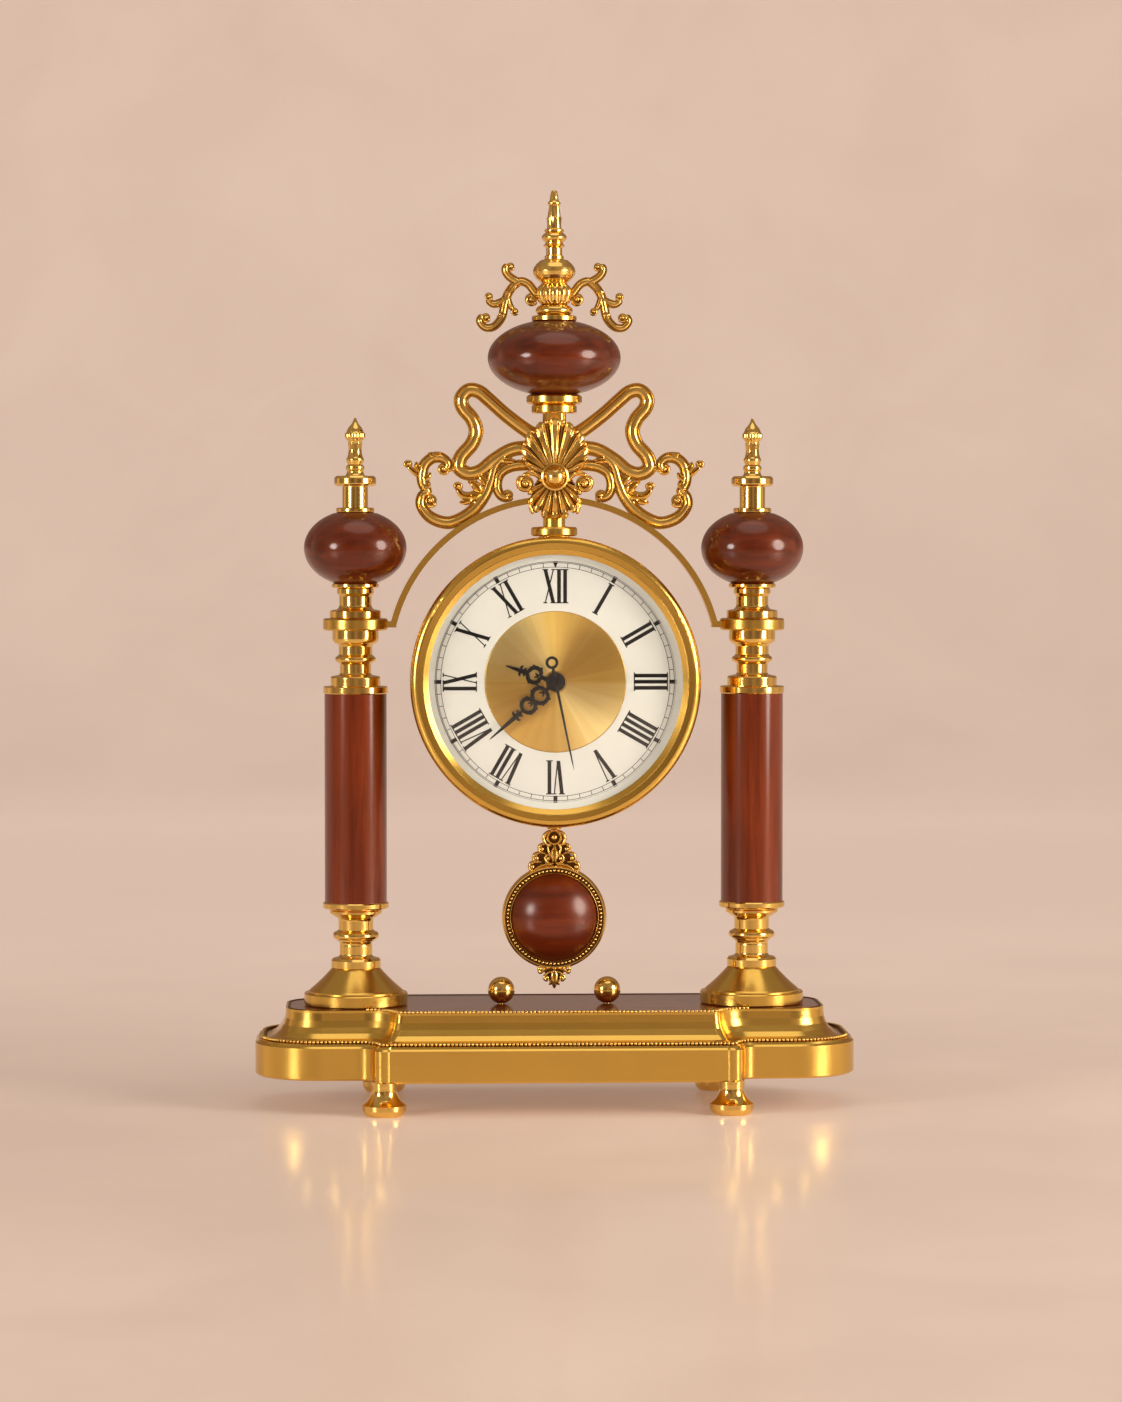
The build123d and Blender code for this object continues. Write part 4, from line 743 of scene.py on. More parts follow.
def shell():
    """A carved shell: a large fan above, a small one below, curls at its sides and a domed boss."""
    shape = Shape()
    back = -low("shell_rosette").y - 9.8
    turns = 360
    rows = [i / 22 for i in range(2, 23)]
    rings = []
    for share in rows:
        ring = []
        for k in range(turns):
            angle = 360 * k / turns - 90
            fold = angle if angle <= 90 else 180 - angle
            upper = fold > -4
            rib = UPPER_RIB if upper else LOWER_RIB
            phase = (fold - 90) / rib if upper else (fold + 90) / rib
            across = 2 * abs(phase - round(phase))
            reach = between(SHELL_REACH, fold) * (1 - 0.16 * across ** 2.4)
            radius = 3 + (reach - 3) * share
            ridge = exp(-((across - 0.66) / 0.17) ** 2)
            valley = exp(-((across - 1.0) / 0.13) ** 2)
            lip = exp(-((share - 0.93) / 0.08) ** 2) * (1 - across ** 2)
            height = 1.6 + 1.8 * sin(pi * min(share, 1) ** 0.8) * 0.8 + (0.5 + 1.5 * share) * ridge
            height += 1.6 * lip - (0.5 + 1.4 * share) * valley - 0.5 * share ** 4
            ring.append((radius * cos(radians(angle)), -(back + max(height, 0.4)),
                         ROSETTE_Z + radius * sin(radians(angle))))
        rings.append(ring)
    rim = [(x, -back, z) for x, y, z in rings[-1]]
    shape.tube(rings + [rim])
    # beads on the valley ends of the upper fan
    for k in range(-4, 5):
        angle = 90 + UPPER_RIB * (k + 0.5)
        fold = angle if angle <= 90 else 180 - angle
        if fold < 2:
            continue
        reach = between(SHELL_REACH, fold) * 0.93
        x = reach * cos(radians(angle))
        shape.ball((x, -(back + 2.0), ROSETTE_Z + reach * sin(radians(angle))), 1.25, 14)
    # boss in its ring
    shape.turned([(7.2, 0.5), (7.6, 2.4), (7.2, 3.6), (6.4, 4.0), (5.9, 3.7), (5.7, 4.6), (4.9, 6.9),
                  (3.4, 8.5), (1.7, 9.4), (0, 9.7)], (0, -back, ROSETTE_Z), "Y", 40)
    for side in (-1, 1):
        curl(shape, side * 15.4, ROSETTE_Z - 3.6, 4.9, side, start=70, turns=-1.3, y=-back - 1.0, thick=2.8)
        for line, widths, thick, y in SHELL_STALKS:
            shape.strap([(side * x, ROSETTE_Z + z) for x, z in line], widths, thick, ROUND, -back + y)
    shape.piece("shell_carved", "clock", "polished_brass", cast_brass, ["shell_rosette"])


shell()


# ---- crown
WING_LINES = [
    ([(8.4, 12.6), (11, 16.2), (13.9, 19.6), (17.9, 20.8), (21.9, 17.9), (24.8, 13.3), (26.3, 7.6),
      (27.7, 1.8), (31.7, -2.8), (36.3, -3.3), (39.2, 0.1), (37.4, 3.4)], [3.2, 3.4, 3.4, 3.2, 2.8]),
    ([(16.5, 20.0), (21, 21.6), (24.4, 24.2), (25.8, 27.4), (24.3, 29.8)], [2.6, 3.4, 3.2, 2.6]),
    ([(24.0, 13.4), (28.3, 9.9), (32.3, 9), (35.5, 11.6)], [2.4, 3.2, 2.4]),
    ([(25.0, 13.8), (23.7, 9.3), (21.7, 5.8)], [2.6, 2.6, 2.0]),
]
WING_EYES = [(36.0, 2.0, 2.1), (23.0, 28.7, 1.9), (34.4, 13.0, 1.9), (20.9, 5.2, 1.8), (12.2, 11.6, 2.9)]


def crown_wings():
    shape = Shape()
    for side in (-1, 1):
        for line, widths in WING_LINES:
            shape.strap([(side * x, VASE_Z + up) for x, up in line], [w * STEM_WIDTH for w in widths], 2.2)
        for x, up, radius in WING_EYES:
            curl(shape, side * x, VASE_Z + up, radius * CURL_SIZE, side, start=200, thick=2.0)
        leaf(shape, (side * 20, VASE_Z + 19.5), (side * 27, VASE_Z + 14.5), 3.6, -0.2, 1.6, side * -0.1)
        leaf(shape, (side * 25.5, VASE_Z + 6), (side * 30.2, VASE_Z + 2.4), 3.0, -0.2, 1.6, side * -0.1)
    shape.piece("crown_wings_carved", "clock", "polished_brass", cast_brass, ["crown_wings"])


crown_wings()

VASE_PROFILE = [
    (11.2, 0), (11.8, 0.5), (11.8, 2.4), (11.0, 2.9), (8.2, 3.3), (8.2, 8.0, 1.6), (6.6, 8.6),
    (9.0, 11.6, 0.4), (9.4, 16.6, 0.5), (6.8, 19.6, 0.3), (7.2, 20.4), (7.2, 32.0, 4.0), (5.0, 32.6),
    (5.0, 34.2), (4.2, 34.8),
    (4.2, 38.4), (5.8, 39.6), (4.6, 40.8), (4.6, 41.4), (4.6, 46.5, 2.0)]
SPIRE_PROFILE = [
    (4.4, 0), (5.1, 0.7), (5.1, 1.4), (4.2, 2.0), (3.9, 4.0), (3.7, 8.5), (2.9, 13.2), (2.7, 14.4),
    (3.4, 15.2), (3.4, 15.9), (2.6, 16.7), (2.2, 19.0, -0.1), (1.7, 21.4), (0.3, 22.4, 0.4)]


def fine(profile, step=0.35):
    """A turned profile with close points, for carving."""
    line = arc_points(profile)
    made = [line[0]]
    for a, b in zip(line, line[1:]):
        count = max(1, int((b - a).length / step))
        made += [a + (b - a) * (k / count) for k in range(1, count + 1)]
    return made


def gadroons(angle, height):
    """Twelve upright flutes round the vase's body."""
    if not 9.0 < height < 20.0:
        return 1.0
    depth = min(1, (height - 9.0) / 1.2, (20.0 - height) / 1.2)
    return 1 - 0.13 * depth * (1 - abs(cos(6 * angle)) ** 0.7)


def spire_leaves(angle, height):
    """Long narrow leaves twisting up the spire."""
    if not 2.2 < height < 14.0:
        return 1.0
    tier = (height - 2.2) / 5.9
    rise = tier % 1
    turn = 4 * (angle + 0.06 * height + (0 if int(tier) % 2 else pi / 4))
    return 0.95 + 0.16 * rise * (0.5 + 0.5 * cos(turn)) - 0.07 * (1 - abs(cos(turn / 2))) * (1 - rise)


def crown():
    vase = Shape()
    vase.turned(fine(VASE_PROFILE), (0, 0, VASE_Z), steps=144, ripple=gadroons)
    vase.piece("crown_vase_fluted", "clock", "polished_brass", cast_brass, ["crown_vase"])
    spire = Shape()
    line = fine(SPIRE_PROFILE, 0.25)
    stretch = (SPIRE_H - 0.05) / max(height for radius, height in line)
    spire.turned([(radius, height * stretch) for radius, height in line], (0, 0, SPIRE_Z), steps=80,
                 ripple=spire_leaves)
    spire.piece("crown_spire_leafed", "clock", "polished_brass", cast_brass, ["crown_spire"])


crown()

FINIAL_PROFILE = [
    (9.6, 0), (10.0, 0.5), (10.0, 2.2), (9.5, 2.7), (6.7, 2.9), (6.7, 13.7), (10.2, 14.2), (11.0, 15.2),
    (11.0, 18.2), (10.0, 19.4), (5.4, 19.6), (4.4, 22.0, -0.4), (4.8, 23.0), (4.8, 24.4), (3.8, 25.4),
    (4.6, 27.4), (4.6, 28.4), (3.3, 33.4, -0.3), (3.6, 37.4), (5.3, 39.6), (5.3, 41.6), (4.4, 42.6),
    (3.0, 45.4, 0.2), (0.6, 49.9, -0.4)]


def finial_flutes(angle, height):
    """Leaves up the finial's neck and flutes round its top ring."""
    if 29.0 < height < 37.0:
        rise = (height - 29.0) / 8.0
        return 0.97 + 0.16 * rise * (0.5 + 0.5 * cos(6 * angle)) - 0.05 * rise
    if 38.2 < height < 42.2:
        return 1 - 0.1 * (1 - abs(cos(7 * angle)) ** 0.6)
    return 1.0


def finials():
    shape = Shape()
    for side in (-1, 1):
        shape.turned(fine(FINIAL_PROFILE, 0.4), (side * COLUMN_X, 0, FINIAL_Z), steps=96,
                     ripple=finial_flutes)
    shape.piece("finials_fluted", "clock", "polished_brass", polished, ["finials"])


finials()


# ---- dial
def dial_place(radius, angle):
    """A place on the dial, clockwise from the top."""
    return (radius * sin(radians(angle)), CASE_Z + radius * cos(radians(angle)))


def stroke(shape, angle, radius0, side0, radius1, side1, width, rise):
    """A straight printed line between two places given by radius and sideways distance on a dial's ray."""
    ray = Vector((sin(radians(angle)), cos(radians(angle))))
    side = Vector((ray.y, -ray.x))
    hub = Vector((0, CASE_Z))
    low_end = hub + ray * radius0 + side * side0
    high_end = hub + ray * radius1 + side * side1
    half = side * width / 2
    outline = [low_end - half, low_end + half, high_end + half, high_end - half]
    shape.plate([tuple(p) for p in outline], DIAL_F - 0.02, DIAL_F + rise)


NUMERAL_R0 = 41.3
NUMERAL_R1 = 58.6
THICK = 1.95
THIN = 0.62
ADVANCE = {"I": 3.2, "V": 6.3, "X": 6.9}
NUMERALS = ["XII", "I", "II", "III", "IIII", "V", "VI", "VII", "VIII", "IX", "X", "XI"]


def serif(shape, angle, radius, side, width):
    stroke(shape, angle, radius - 0.3, side, radius + 0.3, side, width, 0.05)


def numeral(shape, angle, text):
    """A Roman numeral standing on a ray of the dial, its foot towards the middle."""
    total = sum(ADVANCE[letter] for letter in text)
    at = -total / 2
    for letter in text:
        centre = at + ADVANCE[letter] / 2
        if letter == "I":
            stroke(shape, angle, NUMERAL_R0, centre, NUMERAL_R1, centre, THICK, 0.06)
            for radius in (NUMERAL_R0, NUMERAL_R1):
                serif(shape, angle, radius, centre, THICK + 1.5)
        elif letter == "V":
            stroke(shape, angle, NUMERAL_R0, centre + 0.1, NUMERAL_R1, centre - 1.8, THICK, 0.06)
            stroke(shape, angle, NUMERAL_R0, centre + 0.5, NUMERAL_R1, centre + 2.2, THIN, 0.06)
            serif(shape, angle, NUMERAL_R1, centre - 1.8, THICK + 1.3)
            serif(shape, angle, NUMERAL_R1, centre + 2.2, 2.1)
        else:
            stroke(shape, angle, NUMERAL_R0, centre + 2.1, NUMERAL_R1, centre - 2.1, THICK, 0.06)
            stroke(shape, angle, NUMERAL_R0, centre - 2.1, NUMERAL_R1, centre + 2.1, THIN, 0.06)
            for radius, way in ((NUMERAL_R0, 1), (NUMERAL_R1, -1)):
                serif(shape, angle, radius, centre + way * 2.1, THICK + 1.1)
                serif(shape, angle, radius, centre - way * 2.1, 2.1)
        at += ADVANCE[letter]


TRACK_OUT = 62.2
TRACK_IN = 59.9


def dial():
    """The printing on the dial and the brushed disc in its middle."""
    print_shape = Shape()
    for hour, text in enumerate(NUMERALS):
        numeral(print_shape, 30 * hour, text)
    for radius in (TRACK_IN, TRACK_OUT):
        rings = []
        for k in range(180):
            ring = []
            for out, rise in ((-0.14, -0.02), (0.14, -0.02), (0.14, 0.05), (-0.14, 0.05)):
                x, z = dial_place(radius + out, 2 * k)
                ring.append((x, -DIAL_F - rise, z))
            rings.append(ring)
        print_shape.tube(rings, closed=True)
    for minute in range(60):
        angle = 6 * minute
        if minute % 5:
            stroke(print_shape, angle, TRACK_IN, 0, TRACK_OUT, 0, 0.34, 0.06)
        elif minute:
            stroke(print_shape, angle, TRACK_IN - 0.3, 0, TRACK_OUT + 0.4, 0, 2.1, 0.07)
    tip = dial_place(TRACK_IN - 0.6, 0)
    wide_end = CASE_Z + TRACK_OUT + 0.2
    print_shape.plate([tip, (-1.3, wide_end), (1.3, wide_end)], DIAL_F - 0.02, DIAL_F + 0.07)
    print_shape.piece("dial_printing", "clock", "hand_black", dial_black)
    disc = Shape()
    thick = DISC_F - DIAL_F
    disc.turned([(DISC_R - 0.02, 0.02), (DISC_R, thick * 0.6), (DISC_R - 0.35, thick), (4.3, thick)],
                (0, -DIAL_F, CASE_Z), "Y", 180)
    disc.piece("dial_disc_brushed", "clock", "dial_gold", dial_gold, ["dial_centre"], smooth=30)
    edge = Shape()
    edge.hoop((0, -DIAL_F - thick * 0.7, CASE_Z), DISC_R - 0.1, 0.22, 0.2, 180, 8)
    edge.piece("dial_disc_edge", "clock", "antique_brass", crevice_shaded_brass)


dial()


# ---- hands
HAND_BOLD = 1.3


class Hand(Shape):
    """A hand drawn pointing up from the dial's middle, then turned clockwise."""

    def __init__(self, forward, angle):
        super().__init__()
        self.forward = forward
        self.angle = radians(angle)

    def out(self, x, up):
        return (x * cos(self.angle) + up * sin(self.angle),
                CASE_Z - x * sin(self.angle) + up * cos(self.angle))

    def bar(self, points, widths, per_span=5):
        bold = [HAND_BOLD * w for w in widths]
        self.strap([self.out(x, up) for x, up in points], bold, 0.3, ROUND, -self.forward, per_span=per_span)

    def ring(self, up, radius, half_width):
        x, z = self.out(0, up)
        self.hoop((x, -self.forward, z), radius, half_width, 0.3, 40, 8)

    def hub(self, bore, radius):
        self.turned([(bore, -0.3), (radius, -0.3), (radius, 0.1), (radius - 0.4, 0.3), (bore, 0.3)],
                    (0, -self.forward, CASE_Z), "Y", 48)

    def both(self, points, widths):
        self.bar(points, widths)
        self.bar(mirrored(points), widths)


def hour_hand():
    hand = Hand(HOUR_F - 0.3, HOUR_ANGLE)
    hand.hub(2.05, 5.1)
    hand.bar([(0, 4.4), (0, 6.6), (0, 8.8)], [2.6, 1.5, 2.2])
    hand.both([(0.2, 8.6), (2.6, 8.8), (3.9, 11.2), (3.2, 13.8), (0.9, 15.2), (0, 16.6)],
              [1.5, 1.7, 1.7, 1.5])
    hand.both([(3.5, 9.6), (4.9, 8.6)], [1.5, 0.6])
    hand.both([(3.6, 12.8), (5.2, 13.8)], [1.5, 0.6])
    hand.both([(0, 9.2), (1.2, 11.6)], [1.0, 0.5])
    hand.bar([(0, 15.4), (0, 19), (0, 23), (0, 27.6)], [2.0, 1.7, 1.1, 0.5])
    hand.both([(0, 18.4), (1.6, 19.4), (2.9, 18.6)], [1.2, 1.1, 0.6])
    hand.both([(0, 16.6), (1.5, 17.2), (2.0, 16.2)], [1.1, 0.9, 0.5])
    hand.piece("hour_hand_pierced", "hour_work", "hand_black", hand_black, ["hour_hand"])


def minute_hand():
    hand = Hand(MINUTE_F - 0.3, MINUTE_ANGLE)
    hand.hub(1.3, 4.2)
    hand.bar([(0, 3.6), (0, 5.6), (0, 7.6)], [2.4, 1.4, 2.0])
    for base, size in ((7.2, 1.0), (15.6, 0.9)):
        hand.both([(0.2, base), (2.6 * size, base + 0.4), (4.2 * size, base + 3.2 * size),
                   (3.2 * size, base + 6.2 * size), (0.8, base + 7.6 * size), (0, base + 8.6 * size)],
                  [1.4, 1.6, 1.6, 1.4])
        hand.both([(3.6 * size, base + 1.4), (5.2 * size, base + 0.6)], [1.4, 0.6])
        hand.both([(3.8 * size, base + 4.8 * size), (5.4 * size, base + 5.8 * size)], [1.4, 0.6])
        hand.both([(0, base + 0.6), (1.3 * size, base + 3.2 * size)], [1.0, 0.5])
    hand.bar([(0, 23.4), (0, 28), (0, 36), (0, 46)], [1.9, 1.7, 1.1, 0.5], 4)
    hand.both([(0, 26.6), (1.7, 27.8), (3.0, 26.8)], [1.2, 1.1, 0.6])
    hand.both([(0, 24.6), (1.5, 25.2), (2.1, 24.2)], [1.1, 0.9, 0.5])
    hand.piece("minute_hand_pierced", "minute_work", "hand_black", hand_black, ["minute_hand"])


def second_hand():
    hand = Hand(SECOND_F - 0.3, SECOND_ANGLE)
    hand.bar([(0, 0), (0, 20), (0, 46.7)], [1.15, 0.9, 0.55], 4)
    hand.bar([(0, 0), (0, -4), (0, -7.9)], [1.1, 1.1, 1.2], 4)
    hand.ring(-10.4, 2.6, 0.75)
    hand.turned([(2.2, -0.3), (2.2, 0.3), (1.7, 0.55), (1.1, 0.62), (0.8, 0.45), (0, 0.4)],
                (0, -SECOND_F + 0.3, CASE_Z), "Y", 36)
    hand.piece("second_hand_slim", "second_work", "hand_black", hand_black, ["second_hand"])


hour_hand()
minute_hand()
second_hand()


# ---- pendulum
def scroll(shape, z, points, widths, y, thick=1.7, eye=None):
    """A pair of scrolls, with points and eyes (place, height, radius) counted up from z."""
    points = lifted(points, z)
    shape.strap(points, widths, thick, ROUND, y, per_span=5)
    shape.strap(mirrored(points), widths, thick, ROUND, y, per_span=5)
    if eye:
        for side in (-1, 1):
            shape.ball((side * eye[0], y - 0.4, z + eye[1]), eye[2], 14)


# scrolls of the pendulum's crest: points, widths and eye
PENDULUM_SCROLLS = [
    ([(0.4, -16.5), (2.6, -12.6), (3.4, -9.6), (1.6, -7.6)], [1.2, 1.6, 1.2], None),
    # side scrolls, from the top one down to the one over the ring
    ([(3.0, -8.4), (5.4, -7.6), (7.8, -8.8), (8.0, -11.4), (6.0, -12.4)], [1.2, 1.8, 1.2],
     (6.6, -10.4, 1.3)),
    ([(4.4, -12.8), (7.4, -12.2), (10.4, -13.2), (11.2, -15.8), (9.2, -17.2)], [1.2, 1.8, 1.2],
     (9.3, -15.2, 1.3)),
    ([(6.4, -17.2), (9.6, -17.0), (12.6, -18.0), (13.2, -20.8), (11.2, -21.8)], [1.2, 1.8, 1.2],
     (11.6, -19.8, 1.3)),
    # a pair of volutes beside the leaf's foot
    ([(0.4, -18.0), (3.0, -17.8), (5.0, -15.6), (3.6, -13.2), (1.8, -14.6)], [1.4, 1.5, 1.1],
     (3.3, -15.3, 1.1)),
    ([(1.0, -18.6), (4.6, -18.6), (8.0, -19.6), (10.4, -21.6)], [1.2, 1.5, 1.2], None),
]


def pendulum_crest():
    """Pierced leafwork above the bob: two tiers of scrolls, a leaf and a round top with an eye."""
    top = CREST_TOP
    shape = Shape()
    plate = [(3.4, -0.6), (5.2, -3.6), (4.2, -6.6), (7.6, -9), (7.2, -12.6), (11.6, -15.6), (12.2, -21.4),
             (8.0, -21.0), (4.0, -19.6)]
    outline = lifted(plate + mirrored(plate[::-1]), top)
    # a near-black plate behind the pierced leafwork: painted shade seen through its openings
    back = Shape()
    back.plate(outline[::-1], -1.6, 0.2)
    back.piece("pendulum_crest_back", "pendulum", "antique_brass", painted_shade_brass)
    front = -0.9
    # round top
    shape.hoop((0, front, top - 4.2), 3.6, 0.9, 1.4, 36)
    shape.ball((0, front, top - 4.2), 1.7, 18)
    scroll(shape, top, [(1.2, -0.9), (4.2, -1.8), (5.7, -4.6), (4.6, -7.4), (2.6, -8.6)], [1.6, 2.0, 1.6],
           front)
    # middle leaf
    leaf(shape, (0, top - 17.5), (0, top - 8.2), 4.4, front - 0.3, 1.6)
    for points, widths, eye in PENDULUM_SCROLLS:
        scroll(shape, top, points, widths, front, eye=eye)
    shape.piece("pendulum_crest_carved", "pendulum", "antique_brass", crevice_shaded_brass, ["pendulum_crest"])


BOB_BEAD_R = 0.76
BOB_BEAD_GAP = 2.05


def bob_ring():
    """The bob's ring: a sloped outer band, a row of beads and a raised inner lip."""
    half = (high("bob_ring").y - low("bob_ring").y) / 2
    shape = Shape()
    back = [(BOB_R - inward, -half + up) for inward, up in [(6.6, 0), (0.4, 0), (0, 0.5)]]
    face = [(BOB_R - inward, half - down) for inward, down in [
        (0, 1.8), (0.4, 0.9), (1.0, 0.25), (1.5, 0.3), (1.65, 1.3), (4.1, 1.3), (4.2, 0.2), (4.45, 0),
        (4.7, 0.4)]]
    seat = [(BOB_R - 4.75, -half + 1.4), (BOB_R - 6.6, -half + 1.2)]
    shape.turned(back + face + seat, (0, 0, BOB_Z), "Y", 144)
    shape.piece("bob_ring_carved", "pendulum", "antique_brass", crevice_shaded_brass, ["bob_ring"])
    # a near-black ring under the row of beads: painted shade in the groove
    groove = Shape()
    groove.turned([(BOB_R - 4.1, half - 1.5), (BOB_R - 1.65, half - 1.5), (BOB_R - 1.65, half - 1.1),
                   (BOB_R - 4.1, half - 1.1)], (0, 0, BOB_Z), "Y", 144)
    groove.piece("bob_bead_groove", "pendulum", "antique_brass", painted_shade_brass, smooth=30)
    beads = Shape()
    radius = BOB_R - 2.9
    count = round(2 * pi * radius / BOB_BEAD_GAP)
    for k in range(count):
        angle = 2 * pi * k / count
        beads.ball((radius * sin(angle), -half + 0.6, BOB_Z + radius * cos(angle)), BOB_BEAD_R, 12)
    beads.piece("bob_beads", "pendulum", "antique_brass", bead_brass)


def bob_dome():
    """The polished wooden cabochon: a spherical cap held by the ring."""
    edge_r = high("bob_cabochon").x - 0.02
    front = -low("bob_cabochon").y
    seat = (high("bob_ring").y - low("bob_ring").y) / 2 - 1.2
    rise = front - seat
    sphere_r = (edge_r ** 2 + rise ** 2) / (2 * rise)
    shape = Shape()
    profile = [(edge_r, seat - 0.8), (edge_r, seat)]
    profile += [(edge_r * cos(pi / 2 * k / 24), seat) for k in range(1, 24)]
    profile = [(r, sqrt(sphere_r ** 2 - r ** 2) - sphere_r + front - 0.02 if i > 0 else h)
               for i, (r, h) in enumerate(profile)]
    shape.turned(profile + [(0, front - 0.02)], (0, 0, BOB_Z), "Y", 96)
    shape.piece("bob_dome", "pendulum", "mahogany", wood_dome, ["bob_cabochon"], smooth=50)


def bob_drop():
    """Leafwork hanging below the bob."""
    shape = Shape()
    top = BOB_Z - BOB_R
    front = -0.6
    # a near-black plate behind the leafwork: painted shade seen through its openings
    back = Shape()
    half = [(6, 1.0), (4.4, -3.6), (1.2, -8.2)]
    back.plate(lifted(half + [(0, -9.4)] + mirrored(half[::-1]), top), -1.4, 0.2)
    back.piece("bob_drop_back", "pendulum", "antique_brass", painted_shade_brass)
    scroll(shape, top, [(1.0, 0.6), (4.4, 0.2), (7.4, -1.8), (8.2, 0.4), (7.0, 1.6)], [1.6, 2.0, 1.4],
           front, 1.4, (7.7, 0.3, 1.35))
    scroll(shape, top, [(0.6, -1.0), (3.4, -2.2), (5.4, -4.4), (4.2, -6.0), (2.8, -5.0)], [1.5, 1.8, 1.3],
           front, 1.4, (3.8, -4.6, 1.2))
    leaf(shape, (0, top + 0.4), (0, DROP_Z + 0.3), 4.4, front, 1.7)
    leaf(shape, (-0.4, top - 4.2), (-2.9, top - 8.4), 2.6, front, 1.4, 0.08)
    leaf(shape, (0.4, top - 4.2), (2.9, top - 8.4), 2.6, front, 1.4, -0.08)
    shape.ball((0, front - 0.6, top - 1.4), 1.4, 16)
    shape.piece("bob_drop_carved", "pendulum", "antique_brass", crevice_shaded_brass, ["bob_drop"])


pendulum_crest()
bob_ring()
bob_dome()
bob_drop()


# ---- room, light and camera
ROOM_DARK = (0.36, 0.255, 0.185, 1)
ROOM_PALE = (0.60, 0.44, 0.335, 1)
CEILING = (0.34, 0.27, 0.21, 1)
PLAIN_BACK = (0.73, 0.55, 0.43, 1)         # what the camera sees past the floor


def emission_world():
    """A warm room, pale behind the object and darker in front of it, and plain to the camera."""
    world = bpy.data.worlds.new("room")
    bpy.context.scene.world = world
    world.use_nodes = True
    tree = world.node_tree
    tree.nodes.clear()
    add = partial(new_node, tree)

    def mix(share, one, two):
        return add("ShaderNodeMix", {0: share, 6: one, 7: two}, data_type="RGBA").outputs[2]

    def spread(value, start, end, **to):
        inputs = {"Value": value, "From Min": start, "From Max": end}
        inputs.update({"To " + key: target for key, target in to.items()})
        return add("ShaderNodeMapRange", inputs).outputs[0]

    direction = add("ShaderNodeTexCoord").outputs["Generated"]
    split = add("ShaderNodeSeparateXYZ", {0: direction}).outputs
    wall = mix(spread(split["Y"], -0.9, 0.35), ROOM_DARK, ROOM_PALE)
    patches = add("ShaderNodeTexNoise", {"Vector": direction, "Scale": 1.7, "Detail": 1.5}).outputs["Fac"]
    shade = spread(patches, 0.38, 0.62, Min=0.42, Max=1.35)
    room = add("ShaderNodeVectorMath", {0: wall, 1: shade}, operation="MULTIPLY").outputs[0]
    ceiling = mix(spread(split["Z"], 0.15, 0.9), room, CEILING)
    plain_back = mix(add("ShaderNodeLightPath").outputs["Is Camera Ray"], ceiling, PLAIN_BACK)
    shader = add("ShaderNodeBackground", {"Color": plain_back, "Strength": 1.0})
    output = add("ShaderNodeOutputWorld")
    tree.links.new(shader.outputs[0], output.inputs[0])


def aimed(thing, place, target):
    thing.location = place
    thing.rotation_euler = (Vector(target) - Vector(place)).to_track_quat("-Z", "Y").to_euler()


def softbox(name, place, target, size, power, colour):
    data = bpy.data.lights.new(name, "AREA")
    data.shape = "ELLIPSE"
    data.size, data.size_y = size
    data.energy = power
    data.color = colour
    aimed(placed(name, data), place, target)


FLOOR_REACH = 6.0
WALL_Y = 3.2                               # beyond a camera that looks from behind
WALL_TOP = 4.0
WALL_BEND = 0.9
WALL_SHADE = 0.72                          # how much darker the wall looks in a reflection
SHADED_WALL = (0.16, 0.085, 0.05)
NEAR_LIFT = 0.10                           # light added to the backdrop, near the object and far from it
FAR_LIFT = 0.36


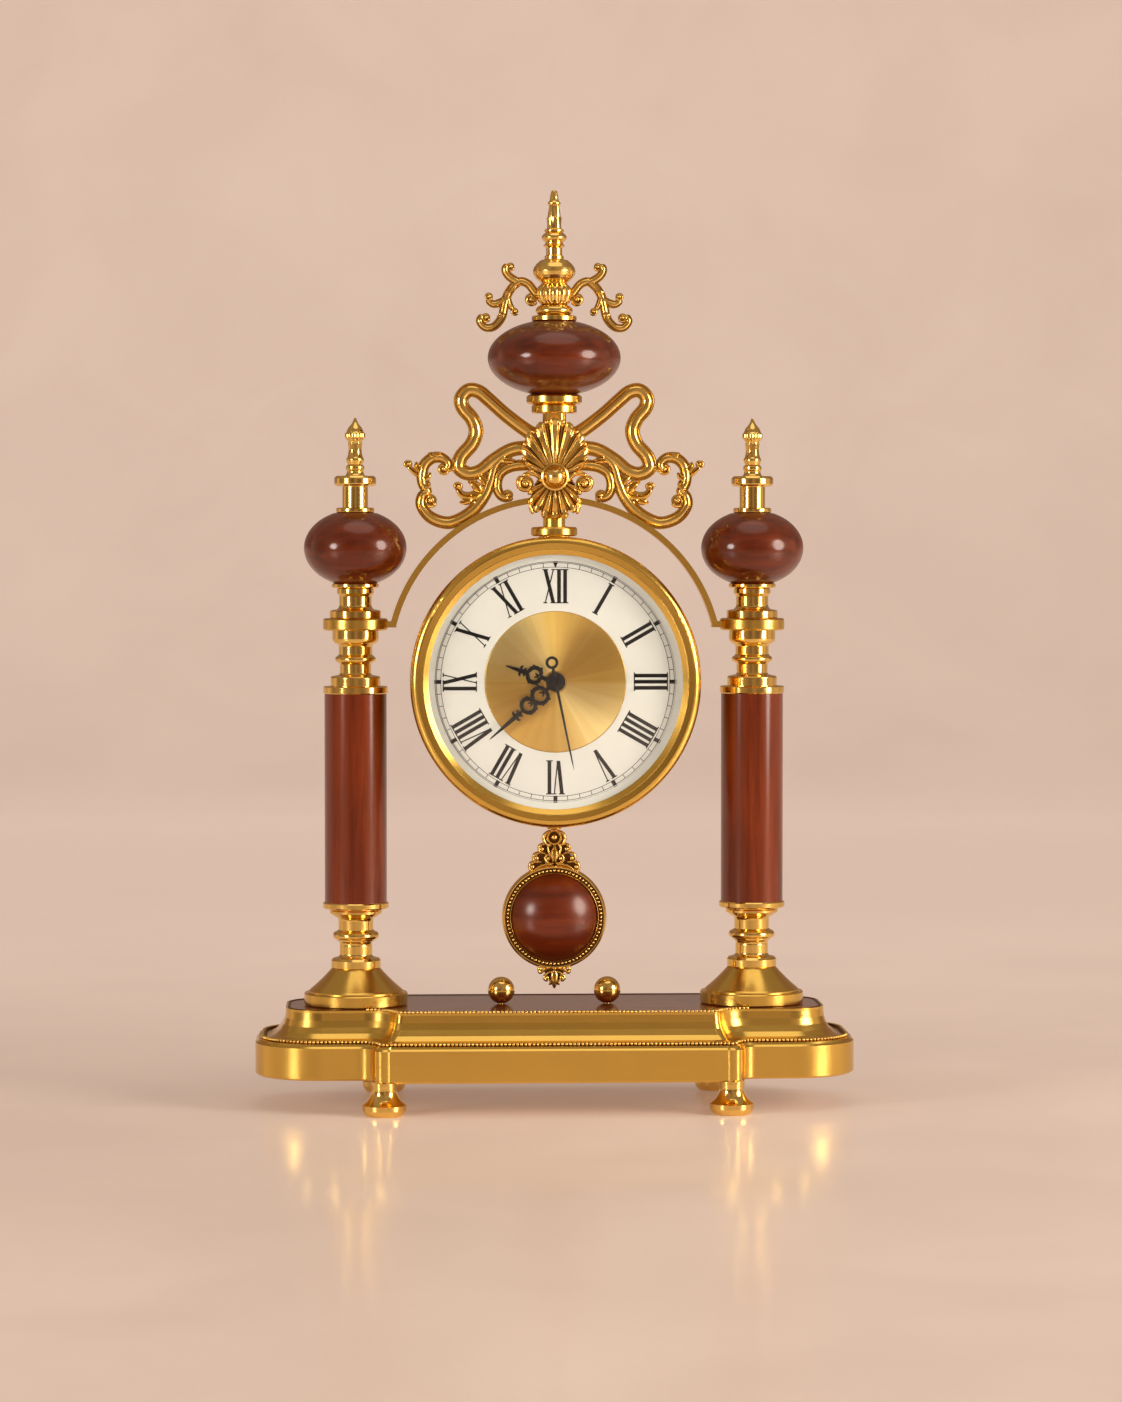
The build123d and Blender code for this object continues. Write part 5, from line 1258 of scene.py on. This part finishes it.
def floor():
    """A pale polished table top that curves up into a plain wall behind the object."""
    mesh = bpy.data.meshes.new("floor")
    foot = WALL_Y - WALL_BEND
    section = [(-FLOOR_REACH, 0.0), (foot, 0.0)]
    section += [(foot + WALL_BEND * sin(radians(a)), WALL_BEND - WALL_BEND * cos(radians(a)))
                for a in range(6, 91, 6)]
    section += [(WALL_Y, WALL_TOP)]
    corners = [(x, y, z) for y, z in section for x in (-FLOOR_REACH, FLOOR_REACH)]
    faces = [(2 * i, 2 * i + 1, 2 * i + 3, 2 * i + 2) for i in range(len(section) - 1)]
    mesh.from_pydata(corners, [], faces)
    mesh.polygons.foreach_set("use_smooth", [True] * len(faces))
    table = placed("floor", mesh)
    look = Look("pale_floor", Coat_Weight=0.3, Coat_Roughness=0.12)
    cloud = look.noise((5, 5, 5), 6, 0.6, 0.6)
    pale = look.ramp(cloud, [(0.3, (0.83, 0.68, 0.59)), (0.7, (0.89, 0.735, 0.64))])
    place = look.add("ShaderNodeSeparateXYZ", {0: look.place}).outputs
    on_wall = look.spread(place["Z"], 0.0, WALL_SHADE, 0.1, 0.5)
    ray = look.add("ShaderNodeLightPath").outputs
    shade = look.blend(look.math("MULTIPLY", on_wall, ray["Is Glossy Ray"]), pale, SHADED_WALL)
    look.wire("Base Color", shade)
    # far from the lamps the backdrop is lifted, to the eye and to metal and glass alike
    seen = ray["Is Camera Ray"]
    for kind in ("Is Glossy Ray", "Is Transmission Ray"):
        seen = look.math("MAXIMUM", seen, ray[kind])
    lift = look.spread(place["Y"], NEAR_LIFT, FAR_LIFT, -0.3, 0.9)
    look.wire("Emission Color", shade)
    look.wire("Emission Strength", look.math("MULTIPLY", lift, seen))
    look.wire("Roughness", look.spread(cloud, 0.3, 0.42))
    mesh.materials.append(look.material)


emission_world()
floor()
AIM = (0.0, 0.0, 0.25)
softbox("key_right", (1.25, -0.75, 0.55), AIM, (0.7, 0.9), 17, (1.0, 0.94, 0.86))
softbox("fill_left", (-1.2, -0.95, 0.45), AIM, (0.4, 0.5), 8, (1.0, 0.95, 0.9))
softbox("top_soft", (0.1, -0.3, 2.1), AIM, (1.6, 1.6), 6, (1.0, 0.94, 0.88))

CAMERA_PLACE = (-0.094, -2.198, 0.290)
CAMERA_TARGET = (0.0036, 0.0, 0.2125)
CAMERA_LENS = 107.1
camera_data = bpy.data.cameras.new("camera")
camera_data.lens = CAMERA_LENS
camera_data.sensor_fit = "VERTICAL"
camera_data.sensor_height = 36
camera = placed("camera", camera_data)
aimed(camera, CAMERA_PLACE, CAMERA_TARGET)
bpy.context.scene.camera = camera
bpy.context.scene.view_settings.view_transform = "Standard"
